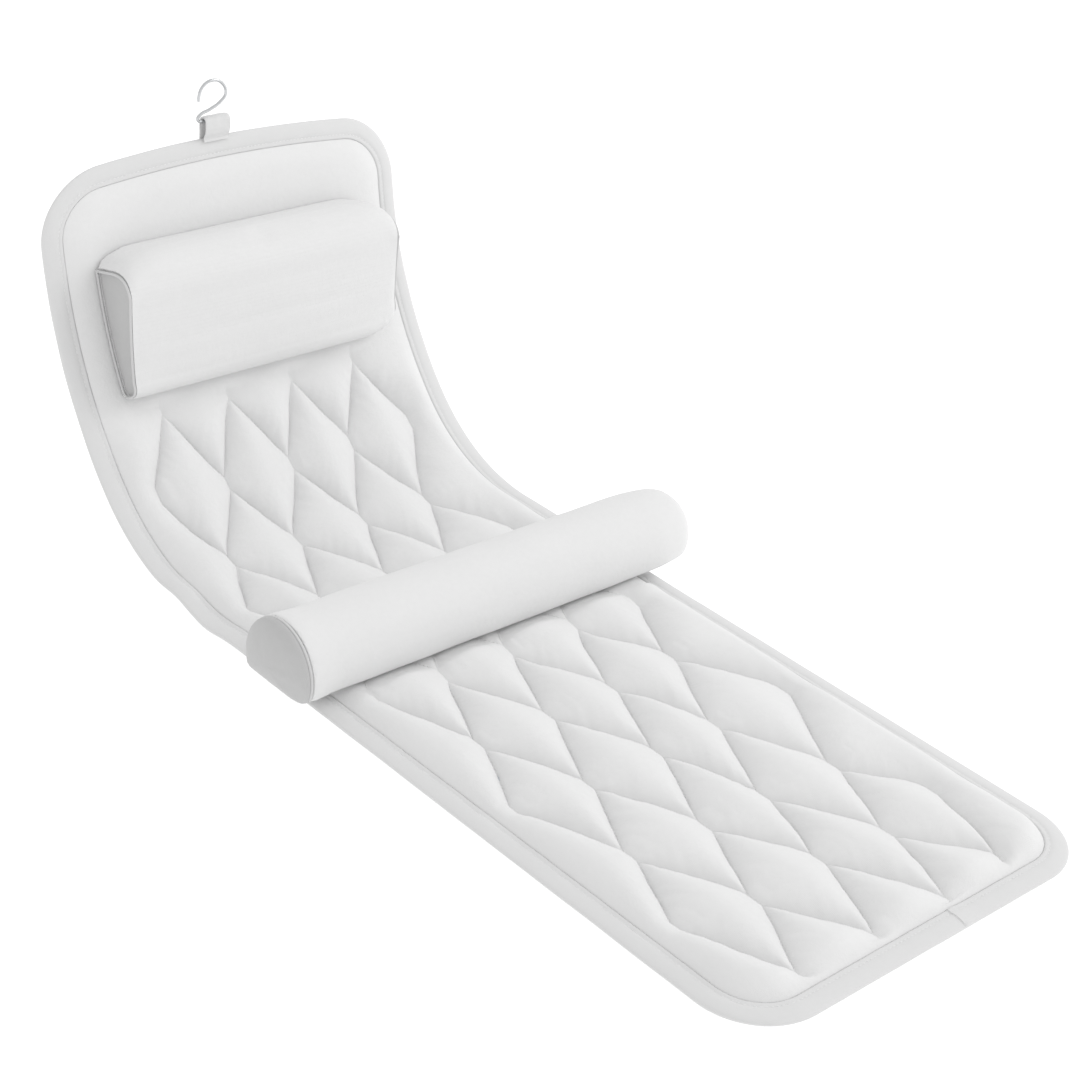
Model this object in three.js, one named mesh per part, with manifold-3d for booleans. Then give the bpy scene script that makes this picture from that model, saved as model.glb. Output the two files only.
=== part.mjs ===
// Full-body bath pillow: a quilted mat that lies flat under the legs and curls up behind the back,
// with a bolster across the seat, a wedge pillow at the head, suction cups below and a wire hook.
// Millimetres: X across the mat, Y from the foot end to the head, Z up.
import * as THREE from 'three';
import { mergeVertices } from 'three/addons/utils/BufferGeometryUtils.js';
import Module from 'manifold-3d';

const wasm = await Module();
wasm.setup();
const { clamp, degToRad, lerp, smoothstep } = THREE.MathUtils;

// Mat outline and bend
const matLength = 1160;
const matWidth = 400;
const cornerRadius = 62;
const headArch = 15;
const hipRadius = 194;
const hipAngle = degToRad(46);
const backRadius = 386;
const backAngle = degToRad(45);

// Layers of the mat, from the underside up
const clearance = 0.3;
const edgeClearance = 0.5;
const bindingWidth = 20;
const bindingThickness = 7.5;
const bindingLip = 1.5;
const bindingRound = 2.5;
const tuckInset = 4;
const backingThickness = 1.2;
const coreThickness = 4;
const faceThickness = 1.2;

// Quilting
const diamondsAcross = 4;
const diamondWidth = 75;
const halfRows = 10;
const footMargin = 31;
const headPanelLength = 229;
const quiltCrown = 8;
const headCrown = 3;
const rolledEdge = 26;

// Folds between the four sections of the mat
const foldRows = [8, 9, 10];
const foldGap = 0.4;
const foldUp = degToRad(6);

// Suction cups
const cupRadius = 17;
const cupHeight = 11;
const cupWall = 1.6;
const cupNeckRadius = 4;
const cupButtonRadius = 7;
const cupButtonThickness = 1.8;
const cupSideInset = 55;
const cupEndInset = 72;
const cupPlay = 0.7;

// Bolster across the seat
const bolsterFront = 499;
const bolsterLength = 428;
const bolsterRadius = 45;
const bolsterHeight = 63;
const bolsterDrawIn = 1.5;
const capDome = 15;

// Wedge pillow on the head panel
const pillowWidth = 304;
const pillowHeight = 133;
const pillowTopDepth = 56;
const pillowBottomDepth = 28;
const pillowOverhang = 13;
const pillowRise = 12;
const pillowCrown = 4;
const pillowDrop = 16;
const pillowShoulder = 40;
const gussetRecess = 3;

// Sewn covers
const coverThickness = 2;
const fillPlay = 0.8;
const pipingRadius = 1.8;

// Hook and its tab
const wireRadius = 1.5;
const hookHeight = 38;
const bowRadius = 15;
const bowAside = -4;
const tabWidth = 27;
const tabAside = -12;
const tabRise = 17;
const tabLap = 12;
const tapeThickness = 1.6;
const loopPlay = 0.5;

// Derived stations along the mat and heights above its underside
const hipLength = hipRadius * hipAngle;
const backLength = backRadius * backAngle;
const flatLength = matLength - hipLength - backLength;
const headSeam = matLength - headPanelLength;
const halfWide = diamondWidth / 2;
const halfLong = (headSeam - footMargin) / halfRows;
const latticeHalf = diamondsAcross * halfWide;
const rowsPerHalf = 3;
const headRows = 8;
const foldLines = foldRows.map((row) => footMargin + row * halfLong);
const sections = {
  seat: [0, foldLines[0]],
  hip: [foldLines[0], foldLines[1]],
  back: [foldLines[1], foldLines[2]],
  head: [foldLines[2], matLength],
};
const backingLow = bindingLip + clearance;
const backingHigh = backingLow + backingThickness;
const coreLow = backingHigh + clearance;
const coreHigh = coreLow + coreThickness;
const faceLow = coreHigh + clearance;
const faceHigh = faceLow + faceThickness;
const quiltTop = faceHigh + quiltCrown;
const headTop = faceHigh + headCrown;
const padInset = bindingWidth + edgeClearance;

// Materials
const cloth = (color) => new THREE.MeshStandardMaterial({ color, roughness: 0.92, metalness: 0 });
const materials = {
  quilt: cloth(0xf4f4f2),
  spacer: cloth(0xe9eaea),
  backing: cloth(0xeeeeec),
  binding: cloth(0xf1f1ef),
  pillow: cloth(0xf3f3f2),
  gusset: cloth(0xd9d9d8),
  foam: cloth(0xf0ecdf),
  piping: cloth(0xe8e8e6),
  cup: new THREE.MeshStandardMaterial({ color: 0xdfe6ea, roughness: 0.25, metalness: 0 }),
  wire: new THREE.MeshStandardMaterial({ color: 0xc8cbce, roughness: 0.25, metalness: 1 }),
};

// The bend: a flat run, the tight hip arc, then the wide back arc.
function bendAt(s) {
  const hip = clamp((s - flatLength) / hipRadius, 0, hipAngle);
  const back = Math.max((s - flatLength - hipLength) / backRadius, 0);
  const angle = hip + back;
  const y = Math.min(s, flatLength) + hipRadius * Math.sin(hip)
    + backRadius * (Math.sin(angle) - Math.sin(hip));
  const z = hipRadius * (1 - Math.cos(hip)) + backRadius * (Math.cos(hip) - Math.cos(angle));
  return { y, z, angle };
}

// A point across x, along s and up h from the underside, on the bent mat.
function place([x, s, h]) {
  const { y, z, angle } = bendAt(s);
  return new THREE.Vector3(x, y - h * Math.sin(angle), z + h * Math.cos(angle));
}

// The same for the mat's own layers, whose head end is arched.
function placeArched([x, s, h]) {
  const share = smoothstep(s, headSeam, matLength);
  return place([x, s - headArch * share * (2 * x / matWidth) ** 2, h]);
}

// Sections lean away from each other at a fold, so that the mat can also be bent further up.
function trimToFolds([x, s, h], [from, to]) {
  const relief = foldGap / 2 + h * Math.tan(foldUp * 0.55);
  const low = from > 0 ? from + relief : from;
  const high = to < matLength ? to - relief : to;
  return [x, clamp(s, low, high), h];
}

// Half the mat's width at a station, for an outline set in from the edge.
function halfWidth(s, inset) {
  const radius = cornerRadius - inset;
  const straight = matWidth / 2 - inset;
  const fromEnd = Math.min(s, matLength - s) - inset;
  const short = Math.max(radius - Math.max(fromEnd, 0), 0);
  return straight - radius + Math.sqrt(radius ** 2 - short ** 2);
}

// Row stations shared by every layer, so that their chords lie parallel round the bend.
const quiltRows = Array.from({ length: halfRows * rowsPerHalf + 1 }, (_, k) =>
  footMargin + (k * halfLong) / rowsPerHalf);
const headStations = Array.from({ length: headRows }, (_, k) =>
  headSeam + ((k + 1) * headPanelLength) / headRows);
const bentRows = [...quiltRows, ...headStations].filter((s) => s > flatLength - halfLong / rowsPerHalf);

const cornerSteps = 8;
const cornerAngles = Array.from({ length: cornerSteps + 1 }, (_, k) => (k / cornerSteps) * Math.PI / 2);

// Stations of a plain layer in one section: its ends, the bend's rows and its rounded corners.
function layerStations([from, to], inset) {
  const radius = cornerRadius - inset;
  const low = Math.max(from, inset);
  const high = Math.min(to, matLength - inset);
  const list = [low, high];
  if (from === 0) list.push(...cornerAngles.map((a) => inset + radius * (1 - Math.cos(a))));
  if (to === matLength) list.push(...cornerAngles.map((a) => high - radius * (1 - Math.cos(a))));
  const cornerStart = to === matLength ? high - radius : high;
  list.push(...bentRows.filter((s) => s > low && s < cornerStart));
  const sorted = list.sort((a, b) => a - b);
  return sorted.filter((s, k) => k === 0 || s - sorted[k - 1] > edgeClearance);
}

// A closed geometry from points and triangles, with its faces turned out.
function solid(points, triangles) {
  const volume = triangles.reduce((sum, [a, b, c]) =>
    sum + points[a].dot(new THREE.Vector3().crossVectors(points[b], points[c])), 0);
  const turned = volume < 0 ? triangles.map(([a, b, c]) => [a, c, b]) : triangles;
  const geometry = new THREE.BufferGeometry().setFromPoints(points);
  geometry.setIndex(turned.flat());
  return geometry;
}

// Triangles between neighbouring rings; flip says where the other diagonal is used.
function skin(count, rings, first, flip) {
  const triangles = [];
  for (let k = 0; k < rings - 1; k++) {
    for (let i = 0; i < count; i++) {
      const a = first + k * count + i;
      const b = first + k * count + ((i + 1) % count);
      const [c, d] = [a + count, b + count];
      if (flip(i, k)) triangles.push([a, b, c], [b, d, c]);
      else triangles.push([a, b, d], [a, d, c]);
    }
  }
  return triangles;
}

// Triangles that fill a flat outline, in the outline's own order.
function fill(outline) {
  const sense = Math.sign(THREE.ShapeUtils.area(outline));
  return THREE.ShapeUtils.triangulateShape(outline, []).map(([a, b, c]) => {
    const area = THREE.ShapeUtils.area([outline[a], outline[b], outline[c]]);
    return Math.sign(area) === sense ? [a, b, c] : [a, c, b];
  });
}

// The same for a flat layer's end, whose points run out along the top and back along the bottom.
function strip(outline) {
  const last = outline.length - 1;
  return outline.slice(0, outline.length / 2 - 1).flatMap((_, i) =>
    [[i, i + 1, last - i - 1], [i, last - i - 1, last - i]]);
}

// A solid lofted through rings of points; the outlines are the flat forms of its two ends.
function loft(rings, first, { last: lastOutline = first, flip = () => false, cap = fill } = {}) {
  const count = rings[0].length;
  const last = (rings.length - 1) * count;
  const triangles = skin(count, rings.length, 0, flip);
  triangles.push(...cap(first).map(([a, b, c]) => [a, c, b]));
  triangles.push(...cap(lastOutline).map((corners) => corners.map((corner) => corner + last)));
  return solid(rings.flat(), triangles);
}

// The same loft with each end closed by a fan about its middle, for ends with bowed sides.
function fanLoft(rings) {
  const count = rings[0].length;
  const points = rings.flat();
  const top = points.length - count;
  const middle = (ring) => ring.reduce((sum, point) => sum.add(point), new THREE.Vector3()).divideScalar(count);
  const first = points.push(middle(rings[0])) - 1;
  const last = points.push(middle(rings.at(-1))) - 1;
  const triangles = skin(count, rings.length, 0, () => false);
  for (let i = 0; i < count; i++) {
    const next = (i + 1) % count;
    triangles.push([next, i, first], [top + i, top + next, last]);
  }
  return solid(points, triangles);
}

// A sleeve open at both ends, from matching outer and inner rings.
function sleeve(outer, inner) {
  const count = outer[0].length;
  const plain = () => false;
  const shift = outer.length * count;
  const triangles = skin(count, outer.length, 0, plain);
  triangles.push(...skin(count, inner.length, shift, plain).map(([a, b, c]) => [a, c, b]));
  for (const end of [0, (outer.length - 1) * count]) {
    for (let i = 0; i < count; i++) {
      const a = end + i;
      const b = end + ((i + 1) % count);
      const rim = [[a, a + shift, b], [b, a + shift, b + shift]];
      triangles.push(...(end === 0 ? rim : rim.map(([p, q, r]) => [p, r, q])));
    }
  }
  return solid([...outer.flat(), ...inner.flat()], triangles);
}

// A round cord laid along a closed outline of [s, h] points in the plane at x.
function ringCord(outline, x, radius, toSpace) {
  const sides = 6;
  const count = outline.length;
  const rings = outline.map((point, k) => {
    const before = outline[(k + count - 1) % count];
    const after = outline[(k + 1) % count];
    const along = after.clone().sub(before).normalize();
    return Array.from({ length: sides }, (_, i) => {
      const turn = (i / sides) * 2 * Math.PI;
      const out = radius * Math.cos(turn);
      return toSpace([x + radius * Math.sin(turn), point.x + along.y * out, point.y - along.x * out]);
    });
  });
  rings.push(rings[0]);
  const triangles = skin(sides, rings.length, 0, () => false);
  const wrapped = triangles.map((corners) => corners.map((corner) => corner % (sides * count)));
  return solid(rings.slice(0, count).flat(), wrapped);
}

// An outline moved in by a distance, point by point along the bisected normals.
function insetOutline(outline, distance) {
  const sense = Math.sign(THREE.ShapeUtils.area(outline));
  const count = outline.length;
  return outline.map((point, k) => {
    const before = point.clone().sub(outline[(k + count - 1) % count]).normalize();
    const after = outline[(k + 1) % count].clone().sub(point).normalize();
    const bisector = before.add(after).normalize();
    const lean = Math.max(bisector.dot(after), 0.5);
    const inward = new THREE.Vector2(-bisector.y, bisector.x).multiplyScalar(sense);
    return point.clone().addScaledVector(inward, distance / lean);
  });
}

// Cutting with closed solids
function toManifold(geometry) {
  const bare = geometry.clone();
  bare.deleteAttribute('normal');
  bare.deleteAttribute('uv');
  const merged = mergeVertices(bare, 1e-4);
  return new wasm.Manifold(new wasm.Mesh({
    numProp: 3,
    vertProperties: new Float32Array(merged.attributes.position.array),
    triVerts: new Uint32Array(merged.index.array),
  }));
}

function cut(geometry, tools) {
  const left = tools.reduce((body, tool) => body.subtract(toManifold(tool)), toManifold(geometry));
  const mesh = left.getMesh();
  const result = new THREE.BufferGeometry();
  result.setAttribute('position', new THREE.BufferAttribute(new Float32Array(mesh.vertProperties), 3));
  result.setIndex([...mesh.triVerts]);
  return result;
}

const bathPillow = new THREE.Group();

function add(name, geometry, material, parent = bathPillow) {
  const mesh = new THREE.Mesh(geometry, material);
  mesh.name = name;
  parent.add(mesh);
  return mesh;
}

// A plain layer of the mat between two heights
function layer(section, inset, low, high) {
  const columns = 4;
  const stations = layerStations(section, inset);
  const flat = stations.map((s) => {
    const half = halfWidth(s, inset);
    const across = Array.from({ length: columns + 1 }, (_, i) => lerp(-half, half, i / columns));
    const top = across.map((x) => [x, s, high]);
    const bottom = across.reverse().map((x) => [x, s, low]);
    return [...top, ...bottom];
  });
  const rings = flat.map((ring) => ring.map((point) => placeArched(trimToFolds(point, section))));
  const outline = (ring) => ring.map(([x, , h]) => new THREE.Vector2(x, h));
  return loft(rings, outline(flat[0]), { last: outline(flat.at(-1)), cap: strip });
}

// How far the quilted face stands up at a point, from none on a seam to the full crown.
function quiltLoft(x, s) {
  const p = (Math.abs(x) - latticeHalf) / halfWide;
  const q = (s - footMargin) / halfLong;
  const tip = -Math.abs(THREE.MathUtils.euclideanModulo(q, 2) - 1);
  const border = (matWidth / 2 - padInset - latticeHalf) / halfWide;
  const ends = Math.min(1, (s - padInset) / rolledEdge, (headSeam - s) / rolledEdge + 0.15);
  const endShare = Math.sqrt(Math.max(ends, 0));
  if (p > tip) {
    const across = (p - tip) / (border - tip);
    const wide = Math.sqrt((border - tip) / (border + 1));
    return endShare * wide * Math.pow(Math.max(4 * across * (1 - across), 0), 0.7);
  }
  const u = (x + latticeHalf) / halfWide;
  const wave = (v) => 1 - (THREE.MathUtils.euclideanModulo(v + 1, 2) - 1) ** 2;
  return endShare * Math.pow(Math.max(wave(u + q) * wave(u - q), 0), 0.6);
}

// A quilted face: diamonds between crossing seams, with a puffed band along each side.
function quiltPanel(section) {
  const [from, to] = section;
  const cells = 2 * diamondsAcross * rowsPerHalf;
  const bandCells = 3;
  const inner = quiltRows.filter((s) => s > from + 1 && s < to - 1);
  const stations = [Math.max(from, padInset), ...inner, to];
  const flat = stations.map((s) => {
    const half = halfWidth(s, padInset);
    const lattice = latticeHalf * Math.min(1, (half - bandCells) / latticeHalf);
    const band = Array.from({ length: bandCells }, (_, i) => lerp(half, lattice, i / bandCells));
    const middle = Array.from({ length: cells + 1 }, (_, i) => lerp(-lattice, lattice, i / cells));
    const across = [...band.map((x) => -x), ...middle, ...band.toReversed()];
    const top = across.map((x) => [x, s, faceHigh + quiltCrown * quiltLoft(x, s)]);
    return [...top, [half, s, faceLow], [-half, s, faceLow]];
  });
  const rings = flat.map((ring) => ring.map((point) => placeArched(trimToFolds(point, section))));
  const seamLeansBack = (i, k) => {
    const column = Math.floor((i - bandCells) / rowsPerHalf);
    const row = Math.floor(((stations[k] + stations[k + 1]) / 2 - footMargin) / halfLong);
    return (column + row) % 2 === 0;
  };
  const outline = (ring) => ring.map(([x, , h]) => new THREE.Vector2(x, h));
  return loft(rings, outline(flat[0]), { last: outline(flat.at(-1)), flip: seamLeansBack });
}

// The plain padded head panel, level in the middle and rolled down to its edges
function headPanel() {
  const columns = 12;
  const section = sections.head;
  const stations = layerStations(section, padInset);
  const flat = stations.map((s) => {
    const half = halfWidth(s, padInset);
    const across = Array.from({ length: columns + 1 }, (_, i) => -half * Math.cos((i / columns) * Math.PI));
    const top = across.map((x) => {
      const edge = Math.min(half - Math.abs(x), matLength - padInset - s, s - headSeam);
      return [x, s, faceHigh + headCrown * smoothstep(edge, -1, rolledEdge)];
    });
    return [...top, [half, s, faceLow], [-half, s, faceLow]];
  });
  const rings = flat.map((ring) => ring.map((point) => placeArched(trimToFolds(point, section))));
  const outline = (ring) => ring.map(([x, , h]) => new THREE.Vector2(x, h));
  return loft(rings, outline(flat[0]), { last: outline(flat.at(-1)) });
}

// The binding's folded section: distance in from the mat's edge, and height
const slotLow = bindingLip;
const slotHigh = backingHigh + clearance;
const slotDepth = tuckInset - edgeClearance;
const rounding = [0, 0.5, 1].map((t) => (t * Math.PI) / 2);
const bindingSection = [
  [bindingWidth, 0],
  ...rounding.map((a) => [bindingRound * (1 - Math.sin(a)), bindingRound * (1 - Math.cos(a))]),
  ...rounding.map((a) => [bindingRound * (1 - Math.cos(a)),
    bindingThickness - bindingRound * (1 - Math.sin(a))]),
  [bindingWidth, bindingThickness],
  [bindingWidth, slotHigh],
  [slotDepth, slotHigh],
  [slotDepth, slotLow],
  [bindingWidth, slotLow],
].map(([u, h]) => new THREE.Vector2(u, h));

// Binding swept along edge points [x, s, inward x, inward s] of one section
function binding(path, section) {
  const rings = path.map(([x, s, inX, inS]) => bindingSection.map((point) =>
    placeArched(trimToFolds([x + inX * point.x, s + inS * point.x, point.y], section))));
  return loft(rings, bindingSection);
}

function sidePath([from, to], side) {
  const stations = [from, ...bentRows.filter((s) => s > from + 1 && s < to - 1), to];
  return stations.map((s) => [side * matWidth / 2, s, -side, 0]);
}

// The edge round one end of the mat, from the left side to the right
function endPath(section, headward) {
  const [from, to] = section;
  const run = headward ? [from, matLength - cornerRadius] : [cornerRadius, to];
  const centre = headward ? matLength - cornerRadius : cornerRadius;
  const sense = headward ? 1 : -1;
  const inside = matWidth / 2 - cornerRadius;
  const side = sidePath(run, -1);
  const left = headward ? side.slice(0, -1) : side.slice(1).reverse();
  const corner = cornerAngles.map((a) => [-inside - cornerRadius * Math.cos(a),
    centre + sense * cornerRadius * Math.sin(a), Math.cos(a), -sense * Math.sin(a)]);
  const endSteps = 8;
  const across = Array.from({ length: endSteps - 1 }, (_, k) =>
    [lerp(-inside, inside, (k + 1) / endSteps), centre + sense * cornerRadius, 0, -sense]);
  const half = [...left, ...corner];
  const mirrored = half.map(([x, s, inX, inS]) => [-x, s, -inX, inS]).reverse();
  return [...half, ...across, ...mirrored];
}

// Suction cups: a dished rubber cup, a neck through the backing and a button behind it
const cupX = matWidth / 2 - cupSideInset;
const seatCupRows = [cupEndInset, (cupEndInset + flatLength - cupEndInset) / 2, flatLength - cupEndInset];
const cupPlaces = [
  ...seatCupRows.map((s) => ({ s, section: 'seat' })),
  { s: (sections.back[0] + sections.back[1]) / 2, section: 'back' },
  { s: matLength - cupEndInset, section: 'head' },
].flatMap(({ s, section }) => [-1, 1].map((side) => ({ x: side * cupX, s, section })));

const buttonLow = backingHigh + cupPlay;
const buttonHigh = buttonLow + cupButtonThickness;
const flangeTop = backingLow - clearance;
const rimLow = flangeTop - cupHeight;
const cupProfile = [
  [0, buttonHigh],
  [cupButtonRadius, buttonHigh],
  [cupButtonRadius, buttonLow],
  [cupNeckRadius, buttonLow],
  [cupNeckRadius, flangeTop],
  [cupNeckRadius * 2, flangeTop],
  [cupNeckRadius * 2, flangeTop - cupWall],
  [cupRadius * 0.8, rimLow + cupHeight * 0.42],
  [cupRadius, rimLow + cupWall * 0.6],
  [cupRadius, rimLow],
  [cupRadius - cupWall, rimLow],
  [cupRadius * 0.6, rimLow + cupWall * 1.6],
  [0, rimLow + cupWall * 2.2],
].map(([r, h]) => new THREE.Vector2(r, h)).reverse();

// A geometry about the height axis, set on the bent mat at a cup's place
function setOnMat(geometry, x, s) {
  const { y, z, angle } = bendAt(s);
  return geometry.rotateX(Math.PI / 2 + angle).translate(x, y, z);
}

function cupHole(radius, low, high, { x, s }) {
  const hole = new THREE.CylinderGeometry(radius, radius, high - low, 12);
  return setOnMat(hole.translate(0, (low + high) / 2, 0), x, s);
}

const holesIn = (section, radius, low, high) => cupPlaces
  .filter((cup) => cup.section === section)
  .map((cup) => cupHole(radius + edgeClearance, low, high, cup));

// The four sections of the mat
for (const [name, section] of Object.entries(sections)) {
  const backing = layer(section, tuckInset, backingLow, backingHigh);
  const core = layer(section, padInset, coreLow, coreHigh);
  const through = holesIn(name, cupNeckRadius, 0, coreHigh);
  const pockets = holesIn(name, cupButtonRadius, backingLow, buttonHigh + cupPlay);
  add(`${name}_backing`, cut(backing, through), materials.backing);
  add(`${name}_core_pad`, cut(core, pockets), materials.spacer);
  if (name === 'head') add('head_panel', headPanel(), materials.quilt);
  else add(`${name}_quilt_panel`, quiltPanel(section), materials.quilt);
}
add('foot_binding', binding(endPath(sections.seat, false), sections.seat), materials.binding);
for (const name of ['hip', 'back']) {
  add(`${name}_binding_left`, binding(sidePath(sections[name], -1), sections[name]), materials.binding);
  add(`${name}_binding_right`, binding(sidePath(sections[name], 1), sections[name]), materials.binding);
}
add('head_binding', binding(endPath(sections.head, true), sections.head), materials.binding);
cupPlaces.forEach(({ x, s }, k) => {
  add(`suction_cup_${k + 1}`, setOnMat(new THREE.LatheGeometry(cupProfile, 12), x, s), materials.cup);
});

// Bolster: a round roll flattened on the mat, drawn in towards its end seams
const bolsterBase = quiltTop + clearance;
const bolsterAxis = bolsterHeight - bolsterRadius;
const bolsterMiddle = bolsterFront + bolsterRadius;
const bolsterEnd = bolsterLength / 2;
const seamRoom = pipingRadius + clearance;
const rollSteps = 14;
const bolsterSteps = 8;
const drawnIn = (x) => bolsterRadius - bolsterDrawIn * Math.abs(x / bolsterEnd) ** 5;

// The roll's outline at a radius, from its front lower corner over the top to the back one
function rollOutline(radius, lift) {
  const low = Math.asin((bolsterAxis - lift) / radius);
  return Array.from({ length: rollSteps + 1 }, (_, k) => {
    const turn = lerp(-low, Math.PI + low, k / rollSteps);
    return new THREE.Vector2(bolsterMiddle - radius * Math.cos(turn),
      bolsterBase + bolsterAxis + radius * Math.sin(turn));
  });
}

const across = (outline, x) => outline.map((point) => place([x, point.x, point.y]));
const bolsterStations = Array.from({ length: bolsterSteps + 1 }, (_, k) =>
  -(bolsterEnd - seamRoom) * Math.cos((k / bolsterSteps) * Math.PI));

function bolsterCover() {
  const wall = (x) => [...rollOutline(drawnIn(x), 0),
    ...rollOutline(drawnIn(x) - coverThickness, 0).reverse()];
  return loft(bolsterStations.map((x) => across(wall(x), x)), wall(bolsterStations[0]));
}

function bolsterCore() {
  const fillOutline = (x) => rollOutline(drawnIn(x) - coverThickness - fillPlay,
    coverThickness + fillPlay);
  return loft(bolsterStations.map((x) => across(fillOutline(x), x)), fillOutline(bolsterStations[0]));
}

function bolsterBasePanel() {
  const panel = (x) => {
    const chord = rollOutline(drawnIn(x) - coverThickness, 0);
    const front = chord[0].x + edgeClearance;
    const back = chord[rollSteps].x - edgeClearance;
    const low = bolsterBase;
    const high = low + coverThickness;
    return [[front, low], [back, low], [back, high], [front, high]].map(([s, h]) => new THREE.Vector2(s, h));
  };
  return loft(bolsterStations.map((x) => across(panel(x), x)), panel(bolsterStations[0]));
}

// A domed end, shrinking towards its middle as it swells outwards
function bolsterCap(side) {
  const outline = rollOutline(drawnIn(bolsterEnd), 0);
  const middle = new THREE.Vector2(bolsterMiddle, bolsterBase + bolsterHeight * 0.45);
  const domeSteps = 5;
  const rings = Array.from({ length: domeSteps + 1 }, (_, k) => {
    const turn = (k / domeSteps) * degToRad(80);
    const scaled = outline.map((point) => point.clone().lerp(middle, 1 - Math.cos(turn)));
    return across(scaled, side * (bolsterEnd + seamRoom + capDome * Math.sin(turn)));
  });
  return loft(rings, outline);
}

function bolsterPiping(side) {
  const outline = insetOutline(rollOutline(drawnIn(bolsterEnd), 0), pipingRadius);
  return ringCord(outline, side * bolsterEnd, pipingRadius, place);
}

add('bolster_cover', bolsterCover(), materials.pillow);
add('bolster_core', bolsterCore(), materials.foam);
add('bolster_base_panel', bolsterBasePanel(), materials.backing);
for (const [name, side] of [['left', -1], ['right', 1]]) {
  add(`bolster_end_cap_${name}`, bolsterCap(side), materials.gusset);
  add(`bolster_piping_${name}`, bolsterPiping(side), materials.piping);
}

// Wedge pillow: thin and overhanging at the neck, thick and rounded at the crown of the head
const pillowStart = headSeam + pillowRise;
const pillowBack = headTop + clearance;
const pillowEnd = pillowWidth / 2;

// The wedge's outline at a place across it, [along the mat, out from the head panel]: less bowed
// at its ends, where the top is rounded off
function wedgeOutline(x) {
  const bow = pillowCrown * lerp(2, 0.6, (x / pillowEnd) ** 4);
  const past = clamp((Math.abs(x) - pillowEnd) / pillowShoulder + 1, 0, 1);
  const top = pillowHeight - pillowDrop * (1 - Math.sqrt(1 - past ** 2));
  const round = pillowTopDepth / 2;
  const neck = pillowBottomDepth / 2;
  const shape = new THREE.Shape();
  shape.moveTo(-pillowOverhang, neck);
  shape.quadraticCurveTo(-pillowOverhang, pillowBottomDepth, neck - pillowOverhang, pillowBottomDepth);
  shape.quadraticCurveTo((top - round + neck - pillowOverhang) / 2,
    (pillowTopDepth + pillowBottomDepth) / 2 + bow, top - round, pillowTopDepth);
  shape.quadraticCurveTo(top, pillowTopDepth, top, pillowTopDepth - round);
  const backSteps = 4;
  for (let k = 0; k <= backSteps; k++) shape.lineTo(top * (1 - k / backSteps), 0);
  shape.quadraticCurveTo(-pillowOverhang, 0, -pillowOverhang, neck);
  const outline = shape.getPoints(5).slice(0, -1);
  return outline.map((point) => point.add(new THREE.Vector2(pillowStart, pillowBack)));
}

const pillowSteps = 10;
const pillowStations = Array.from({ length: pillowSteps + 1 }, (_, k) =>
  -pillowEnd * Math.cos((k / pillowSteps) * Math.PI));
const insetWedge = (x, inset) => insetOutline(wedgeOutline(x), inset);
const wedgeRing = (x, inset) => across(insetWedge(x, inset), x);

function pillowCover() {
  return sleeve(pillowStations.map((x) => wedgeRing(x, 0)),
    pillowStations.map((x) => wedgeRing(x, coverThickness)));
}

// A ring inside the cover, at a depth in from its end
const coreInset = coverThickness + clearance;
const lastStation = pillowStations.at(-2);

function endRing(side, depth) {
  const outer = insetWedge(pillowEnd, coreInset);
  const share = depth / (pillowEnd - lastStation);
  const outline = outer.map((point, k) => point.lerp(insetWedge(lastStation, coreInset)[k], share));
  return across(outline, side * (pillowEnd - depth));
}

function pillowCore() {
  const depth = gussetRecess + coverThickness + clearance;
  const middle = pillowStations.slice(1, -1).map((x) => wedgeRing(x, coreInset));
  return fanLoft([endRing(-1, depth), ...middle, endRing(1, depth)]);
}

function pillowGusset(side) {
  return fanLoft([gussetRecess, gussetRecess + coverThickness].map((depth) => endRing(side, depth)));
}

function pillowPiping(side) {
  return ringCord(insetWedge(pillowEnd, pipingRadius), side * (pillowEnd + pipingRadius + clearance),
    pipingRadius, place);
}

add('pillow_cover', pillowCover(), materials.pillow);
add('pillow_core', pillowCore(), materials.foam);
for (const [name, side] of [['left', -1], ['right', 1]]) {
  add(`pillow_gusset_${name}`, pillowGusset(side), materials.gusset);
  add(`pillow_piping_${name}`, pillowPiping(side), materials.piping);
}

// Hook and tab, in a frame near the middle of the head edge: Y along the mat, Z out of its face
const headEdge = new THREE.Group();
const edge = bendAt(matLength);
headEdge.position.set(tabAside, edge.y, edge.z);
headEdge.rotation.x = edge.angle;
bathPillow.add(headEdge);
const loopRadius = wireRadius + loopPlay;
const loopOuter = loopRadius + tapeThickness;
const wireHeight = bindingThickness / 2;

// A tape folded round the wire, its two tails sewn over the binding's edge
function hookTab() {
  const front = bindingThickness + clearance;
  const back = -clearance;
  const crotch = clearance;
  const shape = new THREE.Shape();
  shape.moveTo(-tabLap, front);
  shape.lineTo(crotch, front);
  shape.lineTo(crotch, back);
  shape.lineTo(-tabLap, back);
  shape.lineTo(-tabLap, back - tapeThickness);
  shape.lineTo(crotch, back - tapeThickness);
  shape.lineTo(tabRise, wireHeight - loopOuter);
  shape.absarc(tabRise, wireHeight, loopOuter, -Math.PI / 2, Math.PI / 2, false);
  shape.lineTo(crotch, front + tapeThickness);
  shape.lineTo(-tabLap, front + tapeThickness);
  const bore = new THREE.Path().absarc(tabRise, wireHeight, loopRadius, 0, 2 * Math.PI, true);
  shape.holes.push(bore);
  const options = { depth: tabWidth, bevelEnabled: false, curveSegments: 6 };
  const tape = new THREE.ExtrudeGeometry(shape, options);
  return tape.applyMatrix4(new THREE.Matrix4().set(
    0, 0, 1, -tabWidth / 2,
    1, 0, 0, 0,
    0, 1, 0, 0,
    0, 0, 0, 1));
}

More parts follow.
